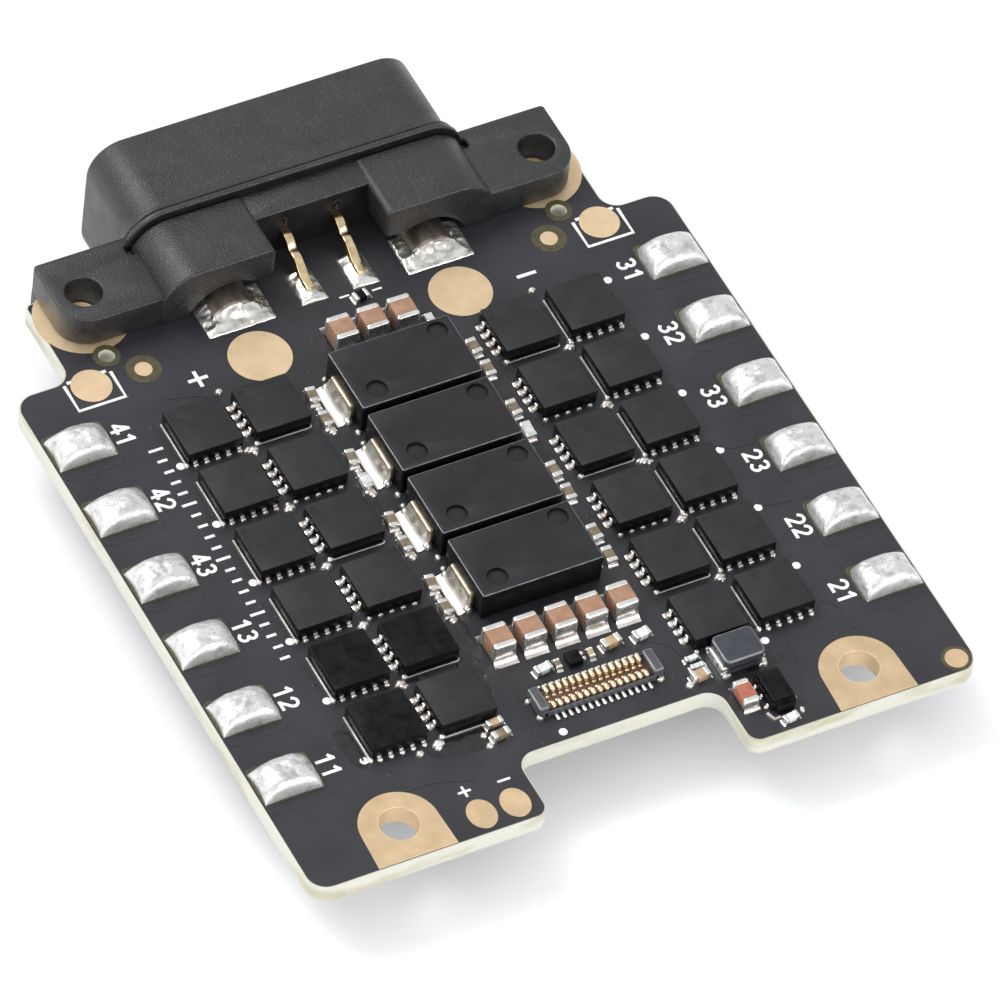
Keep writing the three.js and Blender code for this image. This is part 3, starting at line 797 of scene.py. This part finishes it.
def add_bulk_capacitors():
    tabs = Piece("bulk_capacitor_tabs", "tin_terminal", CHAMPAGNE)
    joints = solder("bulk_capacitor_solder", SMOOTH_SOLDER)
    half = BULK_TERMINAL_WIDTH / 2
    for i in range(1, 5):
        # The sides get the darker side epoxy (painted shade) and the rounded top edge a lighter rim (partly
        # wear, partly painted highlight).
        body, low, high = stand_in(f"bulk_capacitor_{i}", "body", "capacitor_epoxy", SHADED_SIDE_EPOXY,
                                   CAPACITOR_EPOXY, WORN_EDGE_PAINTED_SHEEN, GLOSSY_EPOXY)
        x0 = low.x + BULK_LEFT_END
        x1 = high.x - BULK_RIGHT_END
        y = (low.y + high.y) / 2
        # The ejector marks' walls are lined with the darker glossy epoxy, which paints shade into the
        # dimples.
        marks = [(ring(x, y + rise, 0.56, 28), 0.17, 3) for x, rise in ((x0 + 1.35, -1.15), (x1 - 1.0, 1.35))]
        outline = rectangle(x0, x1, low.y, high.y, 0.1, 3)
        body.slab(outline, 0.04, high.z, 0.045, 2, pits=marks, top=1, rim=2)
        tabs.block(x0 - 0.26, x0 + 0.05, y - half + 0.1, y + half - 0.1, 0, 1.1, 0.1)
        tabs.block(x1 - 0.05, x1 + 0.2, y - half, y + half, 0, 1.0, 0.08)
        for x, turn, reach in ((x0 - 0.22, -90, 0.8), (x1 + 0.18, 90, 0.35)):
            joints.slope(BULK_TERMINAL_WIDTH, reach, 1.08, placed(x, y, degrees=turn))
        for rise in (-half, half):
            joints.bead(x0 - 0.35, y + rise, 0.3, 0.25, 0.35)
        if i < 4:
            joints.bead(x0 - 0.15, y - 2.2, 0.18, 0.22, 0.18)
            joints.bead(x0 - 0.22, y - 3.0, 0.2, 0.16, 0.15)


def add_ceramic_capacitors():
    ends = tin("ceramic_capacitor_ends")
    joints = solder("ceramic_capacitor_solder")
    nodes = [f"front_ceramic_capacitor_{i}" for i in range(1, 6)]
    nodes += [f"rear_ceramic_capacitor_{i}" for i in range(1, 4)]
    for node in (*nodes, "input_ceramic_capacitor"):
        red = node.startswith("input")
        look = ("ceramic_red", CERAMIC_RED) if red else ("ceramic_brown", CERAMIC_BROWN)
        body, low, high = stand_in(node, "body", *look)
        x = (low.x + high.x) / 2
        wide = high.x - low.x
        deep = high.y - low.y
        cap = 0.24 * deep
        body.bar(x, wide / 2 - 0.035, low.y + cap - 0.06, high.y - cap + 0.06, 0.08, high.z - 0.035, 0.05)
        for y, inward, turn in ((low.y, 1, 0), (high.y, -1, 180)):
            y0, y1 = sorted((y, y + inward * cap))
            ends.block(low.x, high.x, y0, y1, 0.02, high.z, 0.17, 5)
            toe = placed(x, y + inward * 0.05, degrees=turn)
            joints.slope(0.92 * wide, (0.12 if red else 0.26) * deep, 0.55 * high.z, toe)


# ---- Small chips ----
class Chips:
    """Small two-terminal chips, gathered into one piece for each finish."""

    def __init__(self, prefix, flip=False):
        finishes = (("olive", "ceramic_brown", CERAMIC_OLIVE), ("tan", "ceramic_brown", CERAMIC_TAN),
                    ("white", "tin_terminal", CERAMIC_WHITE), ("black", "controller_epoxy", GLOSSY_EPOXY))
        self.bodies = {name: Piece(f"{prefix}_{name}_bodies", slot, look) for name, slot, look in finishes}
        self.flip = flip
        self.ends = tin(f"{prefix}_ends")
        self.solder = solder(f"{prefix}_solder")

    def add(self, x, y, angle, body, length=0.95, width=0.54, height=0.42):
        place = placed(x, y, -THICKNESS, angle) @ UPSIDE_DOWN if self.flip else placed(x, y, 0, angle)
        half = length / 2
        side = width / 2
        cap = 0.26 * length
        self.bodies[body].bar(0, half - cap + 0.04, -side + 0.02, side - 0.02, 0.02, height - 0.02, 0.03,
                              turn=place)
        for sign in SIGNS:
            x0, x1 = sorted((sign * half, sign * (half - cap)))
            self.ends.block(x0, x1, -side, side, 0.01, height, 0.05, turn=place)
            toe = placed(sign * (half - 0.02), 0, degrees=90 * sign)
            self.solder.slope(width * 0.9, 0.15, height * 0.7, place @ toe)

    def drop(self, x, y, rx, ry, height=0.2):
        self.solder.bead(x, y, rx, ry, height)


# Chips that follow no row: x, y, angle, finish, length, width and height.
LONE_CHIPS = (
    (3.6, 31.0, 90, "white", 0.6, 0.5, 0.3), (0.85, 33.9, 6, "black", 0.9, 0.6, 0.35),
    (-6.15, 4.05, 4, "tan", 0.95, 0.46, 0.4), (-6.2, 3.2, 6, "olive", 1.05, 0.5, 0.45),
    (5.7, 3.95, 2, "white", 0.8, 0.34, 0.28), (5.75, 3.35, 2, "white", 0.8, 0.34, 0.28),
    (5.55, 2.65, 4, "tan", 1.05, 0.6, 0.5), (8.7, -1.8, 8, "white", 0.9, 0.46, 0.4),
)
# The row behind the control connector, with y counted from ROW_GAP behind it.
ROW_GAP = 1.25
ROW_CHIPS = (
    (-2.05, 0.0, 8, "white", 1.0, 0.55, 0.4), (-1.15, 0.0, 86, "olive", 0.65, 0.36, 0.3),
    (0.85, 0.0, 86, "tan", 0.65, 0.36, 0.3), (2.15, 0.2, 8, "tan", 1.15, 0.6, 0.5),
    (3.95, 0.1, 8, "white", 1.0, 0.6, 0.42),
)
# Drops of solder: x, y, half width, half depth and, where it isn't the usual one, height.
LONE_DROPS = (
    (4.1, 21.0, 0.18, 0.2), (-3.65, 29.3, 0.2, 0.16), (-7.0, 3.6, 0.2, 0.2), (-7.0, 2.85, 0.24, 0.2),
    (4.8, 2.4, 0.26, 0.22, 0.24),
)


def add_upper_chips():
    chips = Chips("small_chips")
    for i in range(1, 5):
        low, high = local(f"bulk_capacitor_{i}")
        y = (low.y + high.y) / 2
        for x, rise, angle, length, width in (
                (high.x + 0.72, 0.72, 92, 1.1, 0.6), (high.x + 0.72, -1.0, 88, 1.1, 0.6),
                (low.x - 0.5, 0.95, 84, 1.05, 0.58), (low.x - 0.55, -0.85, 90, 1.05, 0.58)):
            finish = "white" if i == 2 and rise < 0 else "olive"
            chips.add(x, y + rise, angle, finish, length, width, 0.45)
        chips.drop(low.x - 0.52, y + 0.06, 0.26, 0.2)
        chips.drop(low.x - 0.5, y - 1.7, 0.28, 0.2)
    for chip in LONE_CHIPS:
        chips.add(*chip)
    row_y = local("control_connector")[1].y + ROW_GAP
    for x, rise, *rest in ROW_CHIPS:
        chips.add(x, row_y + rise, *rest)
    chips.bodies["black"].block(-0.6, 0.2, row_y - 0.4, row_y + 0.45, 0.02, 0.4)
    for rise in (0.26, -0.1):
        chips.drop(0.38, row_y + rise, 0.18, 0.15)
    for drop in LONE_DROPS:
        chips.drop(*drop)


def add_underside_chips():
    chips = Chips("underside_chips", flip=True)
    for sign in SIGNS:
        for k in range(5):
            odd = k % 2
            chips.add(sign * (4.6 - 0.2 * odd), 8.2 + 2.9 * k, 90, "olive")
            chips.add(sign * (14.6 + 0.3 * odd), 8.4 + 2.8 * k, 0, "black" if odd else "tan")
        for k in range(4):
            x = sign * (6.6 + 1.9 * k)
            chips.add(x, 19.8, 90, "tan" if k % 2 else "olive")
            chips.add(x, 8.2, 90, "white" if k % 3 == 1 else "olive")
    for k in range(6):
        x = -3.0 + 1.2 * k
        chips.add(x, 26.5, 90, "tan", 1.1, 0.6, 0.5)
        chips.add(x, 4.6, 90, "olive" if k % 2 else "white")


# ---- Logic supply ----
def add_inductor():
    body, low, high = stand_in("regulator_inductor", "body", "ferrite", FERRITE, WORN_EDGE_PAINTED_SHEEN)
    x0 = low.x + 0.15
    x1 = high.x - 0.15
    # The top plate's rounded rim is painted lighter: partly wear, partly a painted highlight.
    body.slab(rectangle(x0, x1, low.y, high.y, 0.35, 6), 0.62, high.z, 0.1, 4, rim=1)
    body.slab(rectangle(x0 + 0.3, x1 - 0.3, low.y + 0.3, high.y - 0.3, 0.3, 5), 0.2, 0.7)
    body.slab(rectangle(x0 + 0.05, x1 - 0.05, low.y + 0.04, high.y - 0.04, 0.3, 5), 0.08, 0.4, 0.06)
    ends = tin("regulator_inductor_terminals")
    for start in (low.x, high.x - 0.55):
        ends.block(start, start + 0.55, low.y + 0.08, high.y - 0.08, 0, 0.22)
    ends.block(x0 - 0.14, x0 + 0.3, low.y + 0.12, high.y - 0.2, 0.1, 0.66, 0.1, 3)
    ends.block(x1 - 0.3, x1 + 0.1, low.y + 0.2, high.y - 0.2, 0.1, 0.6, 0.1, 3)


def add_regulator():
    joints = solder("regulator_inductor_solder")
    low, high = local("regulator_inductor")
    joints.bead(low.x + 0.3, low.y + 0.02, 0.3, 0.16, 0.25)
    joints.bead(high.x - 0.25, low.y + 0.02, 0.28, 0.2, 0.3)
    chip, low, high = stand_in("regulator_ic", "body", "controller_epoxy", GLOSSY_EPOXY)
    leads_y = [low.y + 0.35 + 0.7 * k for k in range(3)]
    path = [(low.x - 0.28, low.y - 0.15), (low.x - 0.12, low.y - 0.62), (low.x + 0.2, low.y - 0.6)]
    joints.stroke(path, 0.16, 0, 0.14)
    joints.bead(high.x + 0.08, low.y - 0.55, 0.16, 0.22, 0.2)
    for y in leads_y:
        for x in (low.x - 0.1, high.x + 0.1):
            joints.bead(x, y, 0.16, 0.13, 0.14)
    chip.block(low.x, high.x, low.y, high.y, 0.04, 0.62 * high.z, 0.05)
    chip.block(low.x + 0.1, high.x - 0.1, low.y + 0.1, high.y - 0.1, 0.5 * high.z, high.z, 0.07)
    for y in leads_y:
        chip.block(low.x - 0.02, low.x + 0.14, y - 0.13, y + 0.13, 0.1, 0.72 * high.z)
    chip.block(low.x + 0.25, high.x - 0.25, low.y - 0.35, low.y + 0.05, 0.02, 0.42, 0.05)
    leads = tin("regulator_ic_leads")
    for y in leads_y:
        for x in (low.x, high.x):
            leads.bar(x, 0.07, y - 0.11, y + 0.11, 0.02, 0.2, 0.03)


# ---- Motor controllers ----
CONTROLLER_LEADS = 12
CONTROLLER_PITCH = 0.5
CONTROLLER_HEIGHT = 0.9


def add_controllers():
    for side, _ in SIDES:
        node = f"motor_controller_{side}"
        # The sides get the darker side epoxy, which is painted shade.
        body, low, high = stand_in(node, "body", "controller_epoxy", SHADED_SIDE_EPOXY, GLOSSY_EPOXY)
        hang = Matrix.Translation((0, 0, low.z + CONTROLLER_HEIGHT)) @ Matrix.Scale(-1, 4, (0, 0, 1))
        dot = [(ring(low.x + 0.8, high.y - 0.8, 0.3, 24), 0.04, 1)]
        outline = rectangle(low.x, high.x, low.y, high.y, 0.08, 3)
        body.slab(outline, 0.05, CONTROLLER_HEIGHT, 0.06, 3, pits=dot, top=1, turn=hang)
        leads = tin(f"{node}_leads")
        joints = solder(f"{node}_solder")
        half = (high.x - low.x) / 2
        for quarter in range(4):
            place = placed(*(low + high).xy / 2, -THICKNESS, 90 * quarter) @ UPSIDE_DOWN
            for k in range(CONTROLLER_LEADS):
                x = (k - (CONTROLLER_LEADS - 1) / 2) * CONTROLLER_PITCH
                leads.bar(x, 0.12, half - 0.3, half + 0.06, 0, 0.2, 0.03, turn=place)
                joints.bar(x, 0.11, half + 0.02, half + 0.34, 0, 0.1, 0.045, turn=place)


# ---- Control connector ----
CONTACTS = 15
CONTACT_PITCH = 0.4


def add_control_connector():
    node = "control_connector"
    body, low, high = stand_in(node, "frame", "connector_plastic", CONNECTOR_PLASTIC, WORN_EDGE_PAINTED_SHEEN)
    y = (low.y + high.y) / 2
    end = 0.6
    body.block(low.x + 0.1, high.x - 0.1, low.y + 0.05, high.y - 0.05, 0.02, 0.26, 0.05)
    for x0, x1 in ((low.x, low.x + end), (high.x - end, high.x)):
        # The ends' rounded rims are painted lighter: partly wear, partly a painted highlight.
        body.block(x0, x1, low.y + 0.06, high.y - 0.06, 0.03, high.z, 0.1, 3, rim=1)
        body.block(x0 + 0.05, x1 - 0.05, low.y, high.y, 0.03, 0.5, 0.08)
    for start, top in ((low.y, 0.44), (high.y - 0.11, 0.5)):
        body.block(low.x + 0.3, high.x - 0.3, start, start + 0.11, 0.03, top)
    slot = Piece(f"{node}_slot", "connector_plastic", AMBER_SLOT)
    slot.block(low.x + end - 0.05, high.x - end + 0.05, y - 0.62, y + 0.62, 0.2, 0.36, 0.03)
    gold = Piece(f"{node}_contacts", "gold_plate", CONTACT_GOLD)
    tails = tin(f"{node}_tails")
    for k in range(CONTACTS):
        x = (k - (CONTACTS - 1) / 2) * CONTACT_PITCH
        gold.bar(x, 0.14, y - 0.72, y - 0.3, 0.3, 0.64, 0.13, 3)
        gold.bar(x, 0.11, y - 0.3, y - 0.12, 0.3, 0.42, 0.05)
        gold.bar(x, 0.11, y + 0.06, y + 0.22, 0.3, 0.44, 0.05)
        gold.bar(x, 0.14, y + 0.24, y + 0.8, 0.3, 0.78, 0.13, 3)
        tails.bar(x, 0.11, low.y - 0.46, low.y + 0.04, 0, 0.2, 0.09, 3)
        tails.bar(x, 0.11, high.y - 0.04, high.y + 0.34, 0, 0.2, 0.09, 3)
    anchors = solder(f"{node}_anchors")
    for x, rise, r in ((low.x + 0.12, -0.7, 0.24), (low.x - 0.02, 0.5, 0.2), (low.x + 0.65, 1.1, 0.18),
                       (high.x - 0.2, -0.85, 0.24), (high.x + 0.02, 0.5, 0.2), (high.x - 0.65, 1.1, 0.18)):
        anchors.bead(x, y + rise, r, r * 0.8, 0.22)


# ---- Battery connector ----
SHROUD_AXIS_Z = -0.65
CONTACT_X = 6.1
CONTACT_RADIUS = 1.6
ARCH_RADIUS = 2.5
ARCH_Z = -0.85
FLANGE_FRONT = 40.6
FLANGE_REAR = 41.4
SOCKET_FLOOR = 42.2
SHROUD_REAR = 46.649
BASE_BOTTOM = -4.6
HOOD_FRONT = 36.25
HOOD_REAR = 40.58
HOOD_HALF = 10.2
HOOD_INNER = 3.4
HOOD_TOP = 3.4
HOOD_FOOT = 1.3
EAR_TOP = 2.04
EAR_OUTER = 15.7
EAR_INNER = 9.0
EAR_FRONT = 36.4
EAR_REAR = 41.3


def shroud_outline(half_width, half_height, radius):
    z = SHROUD_AXIS_Z
    return rectangle(-half_width, half_width, z - half_height, z + half_height, radius, 12)


def hood_outline():
    """The hood over the right contact from the front, with the arch that the contact's tail comes out of."""
    first = math.pi - math.asin((HOOD_FOOT - ARCH_Z) / ARCH_RADIUS)
    last = math.asin(-ARCH_Z / ARCH_RADIUS)
    corners = [(HOOD_INNER, HOOD_FOOT, 0.35)]
    corners += [(a, b, 0) for a, b in arc(CONTACT_X, ARCH_Z, ARCH_RADIUS, first, last, 14)]
    corners += [(HOOD_HALF, 0, 0), (HOOD_HALF, HOOD_TOP, 2.2), (HOOD_INNER, HOOD_TOP, 0.4)]
    return rounded(corners, 10)


def add_battery_connector():
    housing = Piece("battery_connector_shell", "connector_plastic", PLASTIC, SHADED_NYLON,
                    replaces=["battery_connector_housing"], sharp=50)
    flange = shroud_outline(10.35, 4.45, 2.3)
    # A collar of darker nylon behind the front flange: painted shade in the gap between the flange and the
    # hoods.
    housing.slab(inset(flange, 0.08), FLANGE_FRONT, FLANGE_FRONT + 0.2, plane="xz", material=1)
    housing.slab(flange, FLANGE_FRONT + 0.06, FLANGE_FRONT + 0.42, 0.12, 3, plane="xz")
    housing.slab(inset(flange, 0.12), FLANGE_REAR - 0.3, FLANGE_REAR, 0.1, 3, plane="xz")
    outer = shroud_outline(9.9, 4.3, 2.1)
    socket = shroud_outline(9.0, 3.4, 1.2)
    housing.slab(outer, SOCKET_FLOOR - 0.2, SHROUD_REAR, 0.22, 3, plane="xz", holes=[socket])
    housing.slab(inset(outer, 0.01), FLANGE_REAR - 0.2, SOCKET_FLOOR, plane="xz")
    under = -THICKNESS - 0.01
    base = rounded([(-HOOD_HALF, BASE_BOTTOM, 2.0), (HOOD_HALF, BASE_BOTTOM, 2.0), (HOOD_HALF, under, 0),
                    (-HOOD_HALF, under, 0)], 10)
    housing.slab(base, 38.3, 41.0, 0.15, 3, plane="xz")
    # The wall between the hoods is darker nylon on its sides and front: painted shade in the pocket; its top
    # and rim are the usual nylon.
    housing.bar(0, 4.4, 38.75, 41.0, 0.01, HOOD_TOP - 0.12, 0.12, 3, material=1, top=0, rim=0)
    housing.bar(0, 9.2, 40.2, 41.0, -1.0, 1.7, 0.05)
    ear = rounded([(EAR_INNER, EAR_FRONT, 0), (EAR_OUTER, EAR_FRONT, 1.85), (EAR_OUTER, EAR_REAR, 0.25),
                   (EAR_INNER, EAR_REAR, 0)], 10)
    # Notches in the ears at the flange, lined with darker nylon as painted shade.
    pocket = rectangle(10.0, 10.45, 40.05, 40.65, 0.2)
    for sign in SIGNS:
        housing.slab(on_side(hood_outline(), sign), HOOD_FRONT, HOOD_REAR, 0.16, 3, plane="xz")
        x, y, r = EAR_HOLE
        housing.slab(on_side(ear, sign), 0.01, EAR_TOP, 0.13, 3, holes=[ring(x * sign, y, r, 40)],
                     pits=[(on_side(pocket, sign), 0.4, 1)])
        x0, x1 = sorted((EAR_INNER * sign, (EAR_OUTER - 0.02) * sign))
        housing.block(x0, x1, REAR_Y + 0.1, EAR_REAR - 0.02, -1.1, 0.3, 0.12)
        for k in range(3):
            x = sign * 6.0 + 0.32 * (k - 1)
            housing.bar(x, 0.06, 37.6, 38.15, HOOD_TOP - 0.05, HOOD_TOP + 0.02, 0.03)
    figures = Piece("battery_connector_pin_figures", "connector_plastic", PLASTIC)
    upright = placed(0, 38.72) @ Matrix.Rotation(math.pi / 2, 4, "X")
    for x, text in ((-1.78, "1"), (1.38, "2")):
        for path in FIGURES[text]:
            figures.stroke([(x + 0.62 * a, 2.1 + 0.72 * b) for a, b in path], 0.13, 0, 0.06, turn=upright)


def add_power_contacts():
    for side, sign in SIDES:
        node = f"power_contact_{side}"
        pin, low, high = stand_in(node, "pin", "gold_plate", BRIGHT_GOLD, sharp=60)
        x = sign * CONTACT_X
        nose = [(radius, high.y - back) for radius, back in
                ((CONTACT_RADIUS, 0.7), (1.5, 0.42), (1.2, 0.17), (0.9, 0.05), (0.64, 0))]
        pin.lathe([(CONTACT_RADIUS, FLANGE_FRONT), *nose], x, SHROUD_AXIS_Z)
        tail = Piece(f"{node}_tail", "gold_plate", CONTACT_TAIL, sharp=60)
        start = math.asin(-SHROUD_AXIS_Z / CONTACT_RADIUS)
        outline = arc(x, SHROUD_AXIS_Z, CONTACT_RADIUS, start, math.pi - start, 24)
        tail.slab(outline, low.y + 0.16, FLANGE_FRONT + 0.1, 0.25, 4, plane="xz")
        front = low.y + 0.25

        def puddle(u, v):
            """Rippled solder that climbs the tail's front and flanks from the edges of its pad."""
            px = x + 2.06 * u
            py = 35.72 + 1.38 * v
            off = abs(px - x)
            wall = math.sqrt(max(0.0, CONTACT_RADIUS ** 2 - off ** 2)) + SHROUD_AXIS_Z
            ahead = min(1.0, max(0.0, (front - py) / 0.95)) * math.pi / 2
            beside = min(1.0, max(0.0, (off - 1.3) / 0.7)) * math.pi / 2
            climb = 0.6 * max(wall, 0) * (1 - math.sin(ahead)) if py < front else 0.0
            climb += 0.3 * (1 - math.sin(beside)) * math.cos(ahead) * (1 if off > 1.3 else 0.6)
            ripple = 0.12 * noise.noise(Vector((px, py, sign)) * 1.8)
            ripple += 0.08 * noise.noise(Vector((px, py, 2)) * 4)
            rim = min(1.0, (1 - max(abs(u), abs(v))) * 9)
            return px, py, 0.02 + rim * max(0.04, 0.08 + ripple + climb)

        solder(f"{node}_solder", SOLDER_RIPPLED, sharp=80).mound(puddle, 40, 28, SUNK)


# A signal pin's bends from its upper length to its foot, as (y, z).
PIN_BENDS = ((38.75, 1.42), (38.42, 1.5), (38, 1.32), (37.75, 0.95), (37.2, 1), (36.8, 0.86), (36, 0.3))


def add_signal_pins():
    pads = solder("signal_pad_solder", SOLDER_RIPPLED, sharp=80)
    for side, _ in SIDES:
        pin, low, high = stand_in(f"signal_pin_{side}", "wire", "gold_plate", BRIGHT_GOLD, sharp=50)
        route = [(high.y, 1.42), *PIN_BENDS, (low.y + 0.55, 0.26)]
        pin.stroke(smooth(route), 0.5, low.x + 0.01, high.x - 0.01, plane="yz", edge=0.06)
        x = (low.x + high.x) / 2

        def puddle(u, v):
            """Rippled solder that is highest under the pin's foot."""
            px = x + 0.8 * u
            py = 35.75 + 1.2 * v
            near = max(0.0, 1 - abs(u) * 1.1) * max(0.0, 1 - max(0.0, -v - 0.1) * 0.9)
            ripple = 0.08 * noise.noise(Vector((px, py, 5)) * 2.2)
            rim = min(1.0, (1 - max(abs(u), abs(v))) * 6)
            return px, py, 0.03 + rim * (0.08 + 0.3 * near + ripple)

        pads.mound(puddle, 18, 24, SUNK)


# ---- Camera, light and floor ----
CAMERA_TARGET = Vector((1.309, -4.156, 5.1)) * MM
CAMERA_DISTANCE = 0.61858
CAMERA_AZIMUTH = -33.12
CAMERA_ELEVATION = 49.211
CAMERA_ROLL = 7.975
CAMERA_LENS = 412.0
LAMP_TARGET = Vector((0, 0, 0.004))
FLOOR_HALF = 0.6


def aimed(location, target, roll=0.0):
    direction = (target - location).normalized()
    right = direction.cross(Vector((0, 0, 1))).normalized()
    up = right.cross(direction)
    basis = Matrix((right, up, -direction)).transposed()
    return Matrix.Translation(location) @ basis.to_4x4() @ Matrix.Rotation(math.radians(roll), 4, "Z")


def make_camera():
    data = bpy.data.cameras.new("camera")
    data.lens = CAMERA_LENS
    data.sensor_width = 36
    data.clip_start = 0.01
    data.clip_end = 20
    azimuth = math.radians(CAMERA_AZIMUTH)
    elevation = math.radians(CAMERA_ELEVATION)
    flat = math.cos(elevation)
    away = Vector((math.sin(azimuth) * flat, -math.cos(azimuth) * flat, math.sin(elevation)))
    camera = add_object("camera", data)
    camera.matrix_world = aimed(CAMERA_TARGET + away * CAMERA_DISTANCE, CAMERA_TARGET, CAMERA_ROLL)
    bpy.context.scene.camera = camera


def softbox(name, location, size, watts):
    data = bpy.data.lights.new(name, "AREA")
    data.shape = "RECTANGLE"
    data.size, data.size_y = size
    data.energy = watts
    add_object(name, data).matrix_world = aimed(Vector(location), LAMP_TARGET)


def make_studio():
    world = bpy.data.worlds.new("studio")
    world.use_nodes = True
    sky = world.node_tree.nodes["Background"].inputs
    sky["Color"].default_value = (0.97, 0.985, 1.0, 1)
    sky["Strength"].default_value = 0.78
    bpy.context.scene.world = world
    bpy.context.scene.view_settings.view_transform = "Standard"
    softbox("key", (-0.22, 0.30, 0.50), (0.34, 0.34), 2.2)
    softbox("fill", (-0.50, -0.10, 0.22), (0.30, 0.25), 0.7)
    softbox("front", (0.12, -0.60, 0.26), (0.60, 0.30), 2.3)
    floor_mesh = bpy.data.meshes.new("floor")
    corners = [(x, y, 0) for x, y in rectangle(-FLOOR_HALF, FLOOR_HALF, -FLOOR_HALF, FLOOR_HALF)]
    floor_mesh.from_pydata(corners, [], [(0, 1, 2, 3)])
    paper = surface("paper", (0.86, 0.86, 0.87), (0.90, 0.90, 0.905), spot=60, rough=(0.8, 0.9), bump=0)
    glow = paper.node_tree.nodes["Principled BSDF"].inputs
    glow["Emission Color"].default_value = (1, 1, 1, 1)
    glow["Emission Strength"].default_value = 0.12
    floor_mesh.materials.append(paper)
    add_object("floor", floor_mesh)


make_camera()
make_studio()
for make in (make_board, add_gold, add_copper_relief, add_flux_residue, add_silkscreen, add_mosfets,
             add_motor_solder, add_bulk_capacitors, add_ceramic_capacitors, add_upper_chips,
             add_underside_chips, add_inductor, add_regulator, add_controllers, add_control_connector,
             add_battery_connector, add_power_contacts, add_signal_pins):
    make()
for piece in Piece.made:
    if piece.points:
        piece.build()
